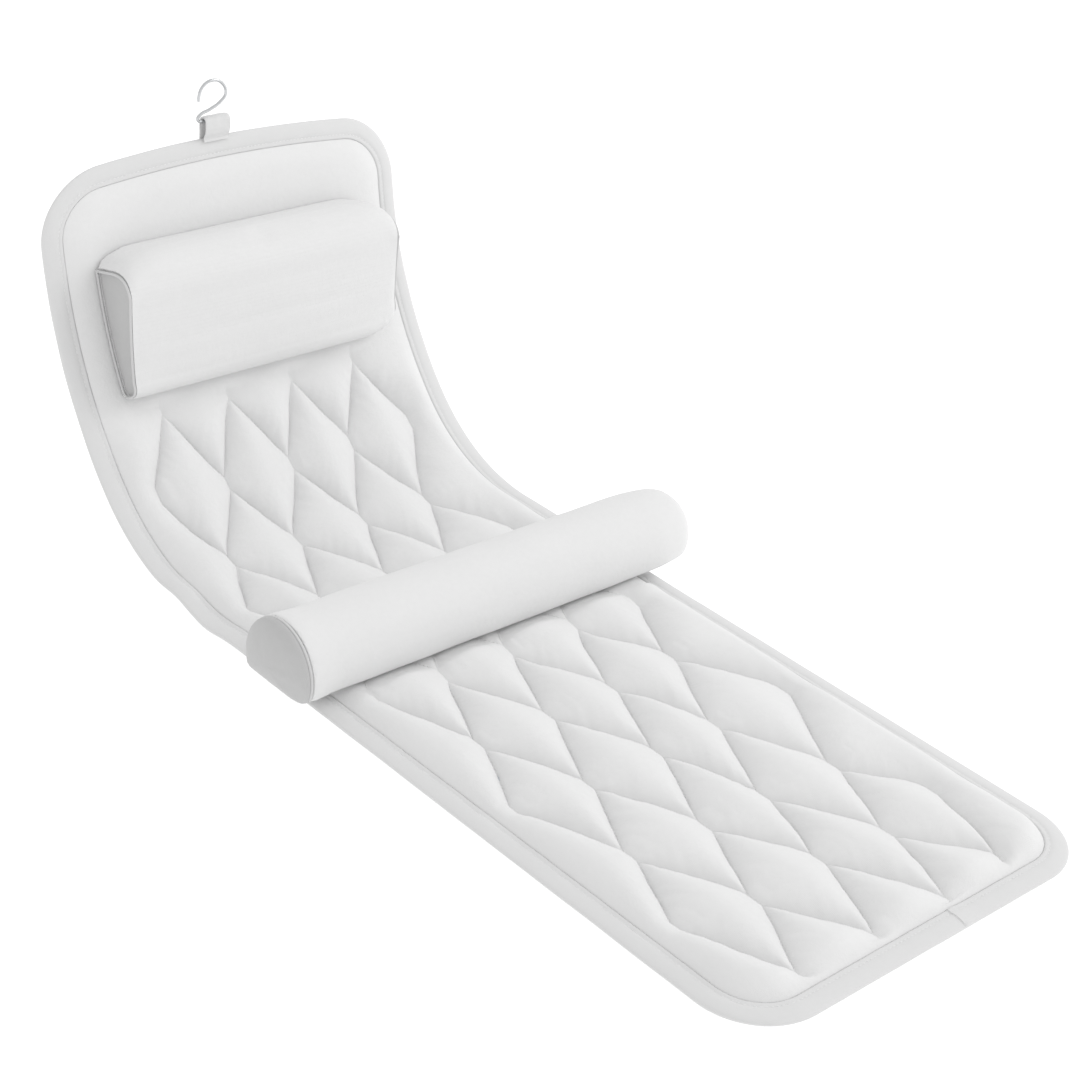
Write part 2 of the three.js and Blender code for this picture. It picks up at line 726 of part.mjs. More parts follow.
// One wire: a leg through the tab, a slanting shank and the open bow of the hook
function wireHook() {
  const leg = tabWidth / 2 + 3 * wireRadius;
  const legEnd = tabWidth / 2 - wireRadius;
  const bowY = hookHeight - bowRadius;
  const onBow = (degrees) => [bowAside + bowRadius * Math.cos(degToRad(degrees)),
    bowY + bowRadius * Math.sin(degToRad(degrees))];
  const route = [
    [legEnd, 0], [legEnd / 3, 0], [-leg / 3, 0], [wireRadius - leg, 0], [-leg, wireRadius * 0.4],
    [-leg - wireRadius, 2 * wireRadius],
    [-leg + wireRadius, 4.5 * wireRadius], [-leg / 3, bowY * 0.45], [leg / 3, bowY * 0.72],
    ...[0, 45, 90, 135, 180].map(onBow), [bowAside - bowRadius, bowY - 2 * wireRadius],
  ];
  const path = new THREE.CatmullRomCurve3(route.map(([x, y]) =>
    new THREE.Vector3(x, tabRise + y, wireHeight)), false, 'centripetal');
  const section = new THREE.Shape().absarc(0, 0, wireRadius, 0, 2 * Math.PI);
  return new THREE.ExtrudeGeometry(section, { extrudePath: path, steps: 40, curveSegments: 4 });
}

add('hook_tab', hookTab(), materials.binding, headEdge);
add('wire_hook', wireHook(), materials.wire, headEdge);

// The origin is under the middle of the whole part, at the height of the cups' rims.
const bounds = new THREE.Box3().setFromObject(bathPillow);
const centre = bounds.getCenter(new THREE.Vector3());
bathPillow.position.set(-centre.x, -centre.y, -bounds.min.z);

export default bathPillow;
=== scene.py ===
import math

import bpy
import numpy as np
from mathutils import Matrix, Vector, noise


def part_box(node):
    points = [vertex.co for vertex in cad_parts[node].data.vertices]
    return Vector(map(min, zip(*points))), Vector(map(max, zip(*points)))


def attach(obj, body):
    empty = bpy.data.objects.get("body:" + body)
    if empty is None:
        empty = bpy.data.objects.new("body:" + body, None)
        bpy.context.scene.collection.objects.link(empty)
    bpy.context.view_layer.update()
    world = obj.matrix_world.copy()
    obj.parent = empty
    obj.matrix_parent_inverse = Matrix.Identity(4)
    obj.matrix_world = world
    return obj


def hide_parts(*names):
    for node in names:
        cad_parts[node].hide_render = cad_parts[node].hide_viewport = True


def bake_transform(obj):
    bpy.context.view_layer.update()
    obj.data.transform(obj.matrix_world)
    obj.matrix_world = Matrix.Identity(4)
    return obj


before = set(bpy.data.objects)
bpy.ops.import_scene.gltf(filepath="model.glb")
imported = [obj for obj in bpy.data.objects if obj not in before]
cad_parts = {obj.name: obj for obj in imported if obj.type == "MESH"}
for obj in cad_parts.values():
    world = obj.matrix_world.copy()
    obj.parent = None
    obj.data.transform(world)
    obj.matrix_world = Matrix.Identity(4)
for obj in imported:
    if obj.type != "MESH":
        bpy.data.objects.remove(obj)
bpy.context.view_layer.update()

# Mat outline and bend, in metres: x across, s along the mat from the foot edge, h up from its underside
MAT_LENGTH = 1.160
MAT_WIDTH = 0.400
CORNER_RADIUS = 0.062
HEAD_ARCH = 0.015
HIP_RADIUS = 0.194
HIP_ANGLE = math.radians(46)
BACK_RADIUS = 0.386
BACK_ANGLE = math.radians(45)
HIP_LENGTH = HIP_RADIUS * HIP_ANGLE
FLAT_LENGTH = MAT_LENGTH - HIP_LENGTH - BACK_RADIUS * BACK_ANGLE
FOOT_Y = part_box("foot_binding")[0].y
UNDERSIDE_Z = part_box("foot_binding")[0].z

# The small wave in the mat's left edge at the hip
BUCKLE_HEIGHT = 0.0045
BUCKLE_RISE = 0.724
BUCKLE_DIP = 0.674
BUCKLE_REACH = 0.022
BUCKLE_START = 0.160
BUCKLE_WIDTH = 0.032

# Quilting
DIAMONDS_ACROSS = 4
HALF_WIDE = 0.0375
LATTICE_HALF = DIAMONDS_ACROSS * HALF_WIDE
HALF_ROWS = 10
FOOT_MARGIN = 0.031
HEAD_PANEL = 0.229
HEAD_SEAM = MAT_LENGTH - HEAD_PANEL
LATTICE_END = HEAD_SEAM - 0.012
HALF_LONG = (LATTICE_END - FOOT_MARGIN) / HALF_ROWS
SEAM_EDGE = math.hypot(HALF_WIDE, HALF_LONG)
PUFF_RADIUS = HALF_WIDE * HALF_LONG / SEAM_EDGE
CELLS_PER_HALF = 20
SEAMS_MEET = 0.08  # of a half row, on each side of a crossing
SEAMS_APART = 1 - 2 * SEAMS_MEET
PAD_INSET = 0.0205
BAND_WIDTH = MAT_WIDTH / 2 - PAD_INSET - LATTICE_HALF
PAD_FLOOR = 0.0033
SEAM_HEIGHT = 0.0046
PRESSED_SEAM = 0.0125
SEAM_ROUNDING = 0.03
RIM_HEIGHT = 0.0061
CREST_HEIGHT = 0.0212
PRESSED_HEIGHT = 0.0158
HEAD_HEIGHT = 0.0113
PAD_HIGHEST = 0.0168  # under the bolster
PUFF_POWER = 0.68  # less is fuller
EDGE_ROLL = 0.023
TIP_FADE = 0.16  # of a half row, past the end crossings
PUCKER = 0.0016
SEAM_WANDER = 0.0014

# How far each sewn crossing strays from the ruled lattice, in millimetres across and along, by half row from the foot
CROSSING_STRAYS = (
    ((-8, -2), (0, -5), (7, -8), (8, 4)),
    ((-5, 6), (-7, -6), (-3, 3), (-5, -8), (-6, 12)),
    ((-13, 0), (-10, -4), (-17, -3), (-12, -8)),
    ((-8, 10), (-12, 1), (-7, 4), (-14, 6), (4, 9)),
    ((-11, 6), (-9, 6), (-8, 9), (-6, 19)),
    ((-6, 20), (-12, 11), (-14, 10), (-12, 12), (-12, 8)),
    ((-12, 7), (-14, 5), (-15, 4), (-13, 2)),
    ((-6, 17), (-17, -4), (-15, -2), (-19, -6), (-10, -5)),
    ((-14, 2), (-14, 2), (-13, 1), (-10, -1)),
    ((-2, 8), (-4, -3), (-4, -1), (-6, 3), (-7, 7)),
    ((-4, -2), (-5, -4), (-6, -4), (-6, -2)))

# The cloth is cut across the middle of two folding sections, where each piece meets the next
CUT_CELL = 13  # cells from the lower crossing
CUTS = [FOOT_MARGIN + HALF_LONG * (row + SEAMS_MEET + SEAMS_APART * CUT_CELL / CELLS_PER_HALF) for row in (8, 9)]
CUT_MARGIN = 0.0065
CUT_CALM = 0.042  # the strays die away over this, towards a cut
FOLDS_START = 0.712
FOLDS_END = 0.970

# Steps in from the padding's edge, close together where it rolls over
EDGE_STEPS = np.array([0, 0.0006, 0.0015, 0.003, 0.005, 0.0075, 0.0105, 0.014, 0.018, 0.0225])

# Binding
BINDING_STITCH = 0.0156
BINDING_STITCH_HEIGHT = 0.0061
BINDING_STEP = 0.005
TUCK_INSET = 0.0055
LAP_X = 0.030
LAP_LENGTH = 0.024

# Bolster
BOLSTER_LENGTH = 0.428
BOLSTER_RADIUS = 0.045
BOLSTER_FRONT = 0.499
BOLSTER_MIDDLE = BOLSTER_FRONT + BOLSTER_RADIUS
BOLSTER_AXIS = 0.018
BOLSTER_BASE = 0.0171
BOLSTER_DRAW_IN = 0.0015
BOLSTER_SLUMP = 0.014
BOLSTER_SHOULDER = 0.046
BOLSTER_ENDS = {-1: -BOLSTER_LENGTH / 2, 1: BOLSTER_LENGTH / 2 + 0.022}
BOLSTER_ROUND = 0.009
CAP_DOMES = {-1: 0.015, 1: 0.003}
CAP_TUCKS = {-1: 0.0004, 1: 0.0024}
PIPING_RADIUS = 0.0018
ROLL_SEAM = PIPING_RADIUS + 0.0003

# Wedge pillow
PILLOW_START = HEAD_SEAM + 0.012
PILLOW_BACK = 0.0121
PILLOW_HALF = 0.152
PILLOW_HEIGHT = 0.133
PILLOW_TOP_DEPTH = 0.056
PILLOW_BOTTOM_DEPTH = 0.028
PILLOW_OVERHANG = 0.013
PILLOW_CROWN = 0.004
PILLOW_DROP = 0.016
PILLOW_SHOULDER = 0.040
PILLOW_CORNER = 0.016
GUSSET_RECESS = 0.003
GUSSET_BULGE = 0.002
COVER_THICKNESS = 0.002
PILLOW_CORD_RADIUS = 0.0012

# Stuffing of the bolster and the pillow
STUFFING_PRESSURE = 4
STUFFING_SWELL = 0.004
HELD_MARGIN = 0.004

# Hook and tab, near the middle of the head edge
WIRE_RADIUS = 0.0015
WIRE_HEIGHT = 0.00375
HOOK_HEIGHT = 0.038
BOW_RADIUS = 0.015
BOW_ASIDE = -0.004
TAB_WIDTH = 0.027
TAB_ASIDE = -0.012
TAB_RISE = 0.017
TAB_LAP = 0.012
TAPE_THICKNESS = 0.0014

# Suction cups
CUP_X = 0.145
CUP_END = 0.072
BACK_CUP = 0.886
CUP_ROWS = (CUP_END, FLAT_LENGTH / 2, FLAT_LENGTH - CUP_END, BACK_CUP, MAT_LENGTH - CUP_END)
CUP_BODIES = ("seat", "seat", "seat", "back", "head")

# Stitches
STITCH_PITCH = 0.0042
STITCH_LENGTH = 0.0030
STITCH_RADIUS = 0.00042

# Camera, from a fit of the mat's outline and quilting to the photograph
LENS_MM = 77.42
CAMERA_TURN = math.radians(-44.30)
CAMERA_RISE = math.radians(29.08)
CAMERA_ROLL = math.radians(5.75)
CAMERA_DISTANCE = 2.0072
CAMERA_ASIDE = (0.0211, 0.0093)
CAMERA_TARGET = Vector((0, FOOT_Y + 0.500, UNDERSIDE_Z + 0.100))

# Light
SKY_STRENGTH = 0.90
KEY_WATTS = 56
KEY_SIZE = 2.4
KEY_PLACE = (3.3, -1.3, 2.8)
KEY_AIM = Vector((0, 0, 0.1))
FLOOR_GLOW = 0.70


# Shaping functions
def smooth(t):
    t = np.clip(t, 0, 1)
    return t * t * (3 - 2 * t)


def arch(t):
    """A quarter-round rise from 0 to 1, steep at first."""
    return np.sqrt(1 - (1 - np.clip(t, 0, 1)) ** 2)


def uneven(*coordinates):
    """Smooth hand-made unevenness, about -1 to 1, at the points of three arrays."""
    arrays = np.broadcast_arrays(*coordinates)
    flat = np.stack([np.ravel(a) for a in arrays], axis=1)
    return np.array([noise.noise(Vector(p)) for p in flat]).reshape(arrays[0].shape)


def unit(vectors):
    return vectors / np.linalg.norm(vectors, axis=-1, keepdims=True)


def run_along(points):
    """The distance along a line of points, at each of them."""
    return np.cumsum(np.linalg.norm(np.diff(points, axis=0, prepend=points[:1]), axis=1))


# Places on the bent mat
def bend_at(s):
    """The y and z of the mat's underside at a station, from the foot edge, and its slope there."""
    hip = np.clip((s - FLAT_LENGTH) / HIP_RADIUS, 0, HIP_ANGLE)
    back = np.maximum((s - FLAT_LENGTH - HIP_LENGTH) / BACK_RADIUS, 0)
    angle = hip + back
    y = np.minimum(s, FLAT_LENGTH) + HIP_RADIUS * np.sin(hip) + BACK_RADIUS * (np.sin(angle) - np.sin(hip))
    z = HIP_RADIUS * (1 - np.cos(hip)) + BACK_RADIUS * (np.cos(hip) - np.cos(angle))
    return y, z, angle


def on_mat(x, s, h):
    """Points in the shared frame, from places across the mat, along it and above its underside."""
    x, s, h = np.broadcast_arrays(x, s, h)
    y, z, angle = bend_at(s)
    return np.stack([x, FOOT_Y + y - h * np.sin(angle), UNDERSIDE_Z + z + h * np.cos(angle)], axis=-1)


def on_arched_mat(x, s, h):
    """The same for the mat's own layers, whose head end is arched and whose left edge buckles at the hip."""
    share = smooth((s - HEAD_SEAM) / (MAT_LENGTH - HEAD_SEAM))
    rise, dip = (np.exp(-((s - place) / BUCKLE_REACH) ** 2) for place in (BUCKLE_RISE, BUCKLE_DIP))
    buckle = BUCKLE_HEIGHT * (rise - 0.8 * dip) * smooth((-x - BUCKLE_START) / BUCKLE_WIDTH)
    return on_mat(x, s - HEAD_ARCH * share * (2 * x / MAT_WIDTH) ** 2, h + buckle)


def off_back_arc(points):
    """The s and h of points on the back arc, the reverse of on_mat there."""
    centre_y = FOOT_Y + FLAT_LENGTH + (HIP_RADIUS - BACK_RADIUS) * math.sin(HIP_ANGLE)
    centre_z = UNDERSIDE_Z + HIP_RADIUS + (BACK_RADIUS - HIP_RADIUS) * math.cos(HIP_ANGLE)
    across, down = points[:, 1] - centre_y, centre_z - points[:, 2]
    s = FLAT_LENGTH + HIP_LENGTH + (np.arctan2(across, down) - HIP_ANGLE) * BACK_RADIUS
    return s, BACK_RADIUS - np.hypot(across, down)


def half_width(s, inset):
    """Half the mat's width at a station, for an outline set in from the edge."""
    radius = CORNER_RADIUS - inset
    from_end = np.minimum(s, MAT_LENGTH - s) - inset
    short = np.clip(radius - np.maximum(from_end, 0), 0, radius)
    return MAT_WIDTH / 2 - CORNER_RADIUS + np.sqrt(radius ** 2 - short ** 2)


def from_edge(x, s, inset):
    """How far a point lies inside the rounded outline set in from the mat's edge."""
    across = np.abs(x) - (MAT_WIDTH / 2 - CORNER_RADIUS)
    along = np.abs(s - MAT_LENGTH / 2) - (MAT_LENGTH / 2 - CORNER_RADIUS)
    outside = np.hypot(np.maximum(across, 0), np.maximum(along, 0))
    return CORNER_RADIUS - inset - outside - np.minimum(np.maximum(across, along), 0)


# Mesh helpers
def deselect():
    bpy.ops.object.select_all(action="DESELECT")


def activate(piece):
    deselect()
    piece.select_set(True)
    bpy.context.view_layer.objects.active = piece


def apply_modifier(piece, kind, **settings):
    activate(piece)
    modifier = piece.modifiers.new(kind.lower(), kind)
    for setting, value in settings.items():
        setattr(modifier, setting, value)
    bpy.ops.object.modifier_apply(modifier=modifier.name)


def finish_mesh(piece, crease=40):
    """Merges doubles, turns the faces out and smooths all but the creases."""
    activate(piece)
    bpy.ops.object.mode_set(mode="EDIT")
    bpy.ops.mesh.select_all(action="SELECT")
    bpy.ops.mesh.remove_doubles(threshold=1e-6)
    bpy.ops.mesh.normals_make_consistent(inside=False)
    bpy.ops.object.mode_set(mode="OBJECT")
    bpy.ops.object.shade_smooth_by_angle(angle=math.radians(crease))
    return piece


def points_of(piece):
    points = np.zeros(len(piece.data.vertices) * 3, np.float32)
    piece.data.vertices.foreach_get("co", points)
    return points.reshape(-1, 3).astype(float)


def set_points(piece, points):
    piece.data.vertices.foreach_set("co", np.asarray(points, np.float32).ravel())
    piece.data.update()


def lay_cloth_map(piece, cloth):
    """A UV map that holds each vertex's place on the cloth, in metres."""
    mesh = piece.data
    layer = mesh.uv_layers.get("cloth") or mesh.uv_layers.new(name="cloth")
    corners = np.zeros(len(mesh.loops), np.int32)
    mesh.loops.foreach_get("vertex_index", corners)
    layer.data.foreach_set("uv", np.asarray(cloth, np.float32)[corners].ravel())


def sewn(name, points, faces, cloth):
    """A piece from worked-out points and faces, with its cloth map."""
    mesh = bpy.data.meshes.new(name)
    mesh.from_pydata(np.asarray(points).tolist(), [], faces)
    piece = bpy.data.objects.new(name, mesh)
    bpy.context.scene.collection.objects.link(piece)
    lay_cloth_map(piece, cloth)
    return piece


def grid_faces(rows, columns, wrap=False):
    return [(r * columns + c, r * columns + (c + 1) % columns,
             (r + 1) * columns + (c + 1) % columns, (r + 1) * columns + c)
            for r in range(rows - 1) for c in range(columns if wrap else columns - 1)]


def tube_faces(rows, columns):
    """Faces round a row of rings, with flat ends."""
    ends = [tuple(range(columns)), tuple((rows - 1) * columns + c for c in range(columns))]
    return grid_faces(rows, columns, wrap=True) + ends


def tube_along(name, points, inward, radius, sides=10):
    """A closed round cord along a ring of points; inward is each point's unit direction in the ring's plane."""
    turn = np.linspace(0, 2 * math.pi, sides, endpoint=False)
    sideways = np.array([1.0, 0, 0])
    rings = (points[:, None] + radius * np.sin(turn)[None, :, None] * sideways
             + radius * np.cos(turn)[None, :, None] * inward[:, None])
    count = len(points)
    faces = [(r * sides + c, r * sides + (c + 1) % sides,
              (r + 1) % count * sides + (c + 1) % sides, (r + 1) % count * sides + c)
             for r in range(count) for c in range(sides)]
    run = np.cumsum(np.linalg.norm(np.diff(points, axis=0, prepend=points[-1:]), axis=1))
    cloth = np.stack(np.broadcast_arrays(turn[None, :] * radius, run[:, None]), axis=-1)
    return sewn(name, rings.reshape(-1, 3), faces, cloth.reshape(-1, 2))


# Quilted padding
def wandered(x, s):
    """Where hand-guided sewing puts the points of the ruled lattice; edges stay, and cuts stay straight across."""
    u, q = (x + LATTICE_HALF) / HALF_WIDE, (s - FOOT_MARGIN) / HALF_LONG
    total, aside, onward = 0.1, 0.0, 0.0
    for j, row in enumerate(CROSSING_STRAYS):
        for k, (across, along) in enumerate(row):
            near = np.exp(-((u - 2 * k - (j + 1) % 2) ** 2 + (q - j) ** 2) / 0.6)
            total, aside, onward = total + near, aside + near * across, onward + near * along
    aside = 0.001 * aside / total + SEAM_WANDER * uneven(x / 0.045, s / 0.045, 21.0)
    onward = 0.001 * onward / total + SEAM_WANDER * uneven(x / 0.045, s / 0.045, 27.0)
    inside = smooth(from_edge(x, s, PAD_INSET) / 0.016)
    off_cuts = np.prod([smooth(np.abs(s - cut) / CUT_CALM) for cut in CUTS], axis=0)
    return x + aside * inside, s + onward * inside * off_cuts


def quilt_lattice(x, s):
    """Shares of the way from the two seam families and from the side zigzag: 0 on a seam, 1 midway.

    Where two seams meet they run together along the mat for a little."""
    u = (x + LATTICE_HALF) / HALF_WIDE
    q = (s - FOOT_MARGIN) / HALF_LONG
    off = q - np.round(q)
    apart = np.maximum(np.abs(off) - SEAMS_MEET, 0) / SEAMS_APART
    held = np.clip(np.round(q) + np.sign(off) * apart, 0, HALF_ROWS)
    fade = smooth(np.maximum(-q, q - HALF_ROWS) / TIP_FADE)
    past = (np.abs(x) - LATTICE_HALF) / HALF_WIDE + np.abs(np.mod(held, 2) - 1)
    shares = [np.abs(np.mod(v, 2) - 1) for v in (u + held, u - held)]
    return [share + (1 - share) * fade for share in shares], past, (u, held, fade)


def seam_pucker(shares, past, place):
    """Small gathers across the seams, dying away from them."""
    u, q, fade = place
    first = shares[0] < shares[1]
    line = np.where(first, u + q, u - q)
    along = np.where(first, u - q, u + q) * SEAM_EDGE / 2
    seam = np.where(past > 0, 31.7 * np.sign(u - DIAMONDS_ACROSS), np.round((line - 1) / 2) * 2 + 1)
    gap = PUFF_RADIUS * np.where(past > 0, past, np.minimum(*shares))
    reach = np.exp(-gap / 0.012) * (1 - np.exp(-gap / 0.002)) * (1 - fade)
    return PUCKER * reach * uneven(along / 0.0090, seam * 7.3, np.where(first, 0.0, 50.0))


def padding_heights(s):
    """The heights of full padding and of the seams, with the shares clear of the bolster and onto the head panel.

    The padding is pressed down under the bolster, pushed up beside it and thin on the head panel."""
    out = np.abs(s - BOLSTER_MIDDLE) - BOLSTER_RADIUS
    free = smooth((out + 0.006) / 0.016)
    pushed_up = 0.0015 * np.exp(-((out - 0.010) / 0.010) ** 2)
    onto_head = smooth((s - HEAD_SEAM + 0.060) / 0.055)
    quilted = PRESSED_HEIGHT + (CREST_HEIGHT + pushed_up - PRESSED_HEIGHT) * free
    seam = PRESSED_SEAM + (SEAM_HEIGHT - PRESSED_SEAM) * smooth(out / 0.045)
    return quilted + (HEAD_HEIGHT - quilted) * onto_head, seam, free, onto_head


def pad_height(x, s, sewn_x, sewn_s):
    """The padded face's height at a lattice point, and at the place where the sewing puts it."""
    shares, past, place = quilt_lattice(x, s)
    wave = [share * (2 - share) for share in shares]
    band = np.clip(past, 0, 1)
    fade = place[2]
    band = band + (1 - band) * fade
    both = wave[0] * wave[1]
    diamond = both / np.sqrt(np.maximum(wave[0] ** 2 + wave[1] ** 2 - both ** 2, 1e-12))
    inner = np.where(past > 0, band * (2 - band), diamond)
    crest, seam, free, onto_head = padding_heights(sewn_s)
    swell = 1 + (0.08 - 0.05 * onto_head) * uneven(x / 0.045, s / 0.075, 3.0)
    inner = np.hypot(np.maximum(inner, 0), SEAM_ROUNDING) - SEAM_ROUNDING
    height = seam + (crest - seam) * inner ** PUFF_POWER * swell
    height += seam_pucker(shares, past, place) * (1 - 0.7 * onto_head)
    in_from_rim = np.clip(from_edge(sewn_x, sewn_s, PAD_INSET) / EDGE_ROLL, 0, 1)
    height = RIM_HEIGHT + (height - RIM_HEIGHT) * in_from_rim * (2 - in_from_rim)
    return np.where(free < 0.2, np.minimum(height, PAD_HIGHEST), height)


def pad_stations(start, end):
    """Rows of the padding, on the quilting's own lattice and close together at the edges and cuts."""
    shares = SEAMS_MEET + SEAMS_APART * np.arange(CELLS_PER_HALF + 1) / CELLS_PER_HALF
    half_row = np.concatenate([[0, SEAMS_MEET / 2], shares, [1 - SEAMS_MEET / 2]])
    tips = HALF_ROWS + np.arange(5) * SEAMS_MEET / 2
    lattice = np.concatenate([(np.arange(HALF_ROWS)[:, None] + half_row).ravel(), tips])
    lattice = FOOT_MARGIN + HALF_LONG * lattice
    head_end = MAT_LENGTH - PAD_INSET
    foot = PAD_INSET + EDGE_STEPS[:7]
    panel = np.arange(lattice[-1] + 0.006, head_end - 0.025, 0.006)
    beside_cuts = [c + side * 0.0005 for c in CUTS for side in (-1, 1)]
    rows = np.concatenate([foot, lattice, panel, head_end - EDGE_STEPS, CUTS, beside_cuts])
    rows = np.unique(np.round(rows, 7))
    return rows[(rows >= start - 1e-6) & (rows <= end + 1e-6)]


def pad_columns(s):
    half = half_width(s, PAD_INSET)
    lattice = np.minimum(LATTICE_HALF, half - 0.004)
    rim = 1 - EDGE_STEPS / BAND_WIDTH
    band = lattice[:, None] + (half - lattice)[:, None] * rim[None, :]
    middle = lattice[:, None] * np.linspace(-1, 1, 2 * DIAMONDS_ACROSS * CELLS_PER_HALF + 1)[None, :]
    return np.concatenate([-band, middle, band[:, ::-1]], axis=1)


def seam_cells(x, s):
    """Which cells are split along the way that their seam leans."""
    middle_x = (x[:-1, :-1] + x[1:, 1:]) / 2
    middle_s = (s[:-1, None] + s[1:, None]) / 2
    column = np.floor((middle_x + LATTICE_HALF) / HALF_WIDE)
    row = np.floor((middle_s - FOOT_MARGIN) / HALF_LONG)
    return np.mod(column + row, 2) == 1


def quilted_pad(name, start, end):
    """A closed pad: the quilted face on top, and a plain floor ruled across between its sides."""
    s = pad_stations(start, end)
    x = pad_columns(s)
    rows, columns = x.shape
    along = np.broadcast_to(s[:, None], x.shape)
    for cut in CUTS:
        for row in np.flatnonzero(np.abs(s - cut) < 0.001):
            shares = quilt_lattice(x[row], np.full(columns, cut))[0]
            lean = np.where(shares[0] < shares[1], -1, 1) * (np.abs(x[row]) < LATTICE_HALF)
            x[row] += lean * (s[row] - cut) * HALF_WIDE / (HALF_LONG * SEAMS_APART)
    sewn_x, sewn_s = wandered(x, along)
    top = on_arched_mat(sewn_x, sewn_s, pad_height(x, along, sewn_x, sewn_s)).reshape(-1, 3)
    floor = on_arched_mat(sewn_x, along, np.full_like(x, PAD_FLOOR)).reshape(-1, 3)
    leans = seam_cells(x, s)
    faces = []
    for r in range(rows - 1):
        for c in range(columns - 1):
            a = r * columns + c
            b, d, e = a + 1, a + columns, a + columns + 1
            faces += [(a, b, e), (a, e, d)] if leans[r, c] else [(a, b, d), (b, e, d)]
    rim = ([(0, c) for c in range(columns)] + [(r, columns - 1) for r in range(1, rows)]
           + [(rows - 1, c) for c in range(columns - 2, -1, -1)] + [(r, 0) for r in range(rows - 2, 0, -1)])
    under = {place: len(top) + k for k, place in enumerate(rim)}
    top_rim = [r * columns + c for r, c in rim]
    for k, place in enumerate(rim):
        after = (k + 1) % len(rim)
        faces.append((top_rim[k], under[place], under[rim[after]], top_rim[after]))
    for r in range(rows - 1):
        lower = range(columns) if r == 0 else (0, columns - 1)
        upper = range(columns) if r + 1 == rows - 1 else (0, columns - 1)
        faces.append(tuple([under[r, c] for c in lower] + [under[r + 1, c] for c in reversed(upper)]))
    points = np.concatenate([top, floor[top_rim]])
    cloth = np.stack([x, along], axis=-1).reshape(-1, 2)
    return finish_mesh(sewn(name, points, faces, np.concatenate([cloth, cloth[top_rim]])), 60)


# Backing sheet, tucked into the binding, with the quilting's stitch lines pulled in
def backing_sheet(name, start, end):
    low, high = max(start, TUCK_INSET), min(end, MAT_LENGTH - TUCK_INSET)
    corner = CORNER_RADIUS - TUCK_INSET
    rounding = corner * (1 - np.cos(np.linspace(0, math.pi / 2, 10)))
    rows = np.arange(low, high, 0.006)
    rows = np.concatenate([rows, [high], TUCK_INSET + rounding, MAT_LENGTH - TUCK_INSET - rounding])
    s = np.unique(np.round(rows[(rows >= low - 1e-6) & (rows <= high + 1e-6)], 5))
    x = half_width(s, TUCK_INSET)[:, None] * np.linspace(-1, 1, 97)[None, :]
    along = np.broadcast_to(s[:, None], x.shape)
    shares, past, _ = quilt_lattice(x, along)
    gap = PUFF_RADIUS * np.where(past > 0, past, np.minimum(*shares))
    gap = np.where(along > HEAD_SEAM, 1.0, gap)
    h = 0.00185 + 0.0004 * np.exp(-gap / 0.005)
    cloth = np.stack([x, along], axis=-1).reshape(-1, 2)
    piece = sewn(name, on_arched_mat(x, along, h).reshape(-1, 3), grid_faces(*x.shape), cloth)
    apply_modifier(piece, "SOLIDIFY", thickness=0.0009, offset=1)
    return finish_mesh(piece, 50)


# Binding: a folded tape swept round the edge, each point as (in from the edge, height)
BINDING_SECTION = np.array([
    (20.0, 0.7), (18.8, 0.15), (14.0, 0.0), (8.0, 0.0), (3.4, 0.2), (1.2, 0.8), (0.1, 2.0), (0.2, 3.2),
    (1.1, 4.1), (2.8, 4.9), (5.6, 5.7), (9.5, 6.5), (13.0, 6.8), (14.6, 6.5), (15.6, 6.1), (16.6, 6.5),
    (18.3, 6.8), (19.6, 6.6), (20.3, 5.8), (20.3, 3.4), (5.0, 3.3), (5.0, 1.5), (19.8, 1.5)]) * 0.001


def side_path(start, end, side):
    steps = max(int(round((end - start) / BINDING_STEP)), 2)
    s = np.concatenate([np.linspace(start, end, steps + 1), [start + 0.0005, end - 0.0005]])
    return [(side * MAT_WIDTH / 2, k, -side, 0.0) for k in np.unique(s)]


def end_path(run, headward):
    """Points (x, s, inward x, inward s) round one end of the mat, from the left side to the right."""
    inside = MAT_WIDTH / 2 - CORNER_RADIUS
    sense = 1 if headward else -1
    centre = MAT_LENGTH - CORNER_RADIUS if headward else CORNER_RADIUS
    left = side_path(min(run, centre), max(run, centre), -1)
    left = left[:-1] if headward else left[:0:-1]
    corner = [(-inside - CORNER_RADIUS * math.cos(a), centre + sense * CORNER_RADIUS * math.sin(a),
               math.cos(a), -sense * math.sin(a)) for a in np.linspace(0, math.pi / 2, 21)]
    lap = [] if headward else [LAP_X - 0.0003, LAP_X + 0.0003, LAP_X + LAP_LENGTH]
    across = [(x, centre + sense * CORNER_RADIUS, 0.0, -float(sense))
              for x in np.unique(np.concatenate([np.linspace(-inside, inside, 57)[1:-1], lap]))]
    half = left + corner
    return half + across + [(-x, s, -nx, ns) for x, s, nx, ns in reversed(half)]


def binding_points(path, section):
    """The tape's section set at each point of a path, with the small wander of hand-guided sewing."""
    x, s, in_x, in_s = (np.array(values)[:, None] for values in zip(*path))
    u, h = section[None, :, 0], section[None, :, 1]
    wander = 0.0004 * uneven(x / 0.05, s / 0.05, 1.0)
    swell = 1 + 0.05 * uneven(x / 0.02, s / 0.02, 5.0)
    gather = 0.00035 * uneven(x / 0.006, s / 0.006, 9.0)
    near_stitch = np.exp(-((u - BINDING_STITCH) / 0.003) ** 2) * (h > 0.005)
    inward = u + wander * (1 - smooth(u / 0.010))
    lapped = (s < 0.5) & (np.abs(in_x) < 0.01) & (x > LAP_X) & (x < LAP_X + LAP_LENGTH)
    lap = 0.0010 * lapped * (1 - smooth((x - LAP_X) / LAP_LENGTH)) * smooth((h - 0.002) / 0.003)
    height = np.where(h > 0.005, h * swell, h) + gather * near_stitch + lap
    return on_arched_mat(x + in_x * inward, s + in_s * inward, height)


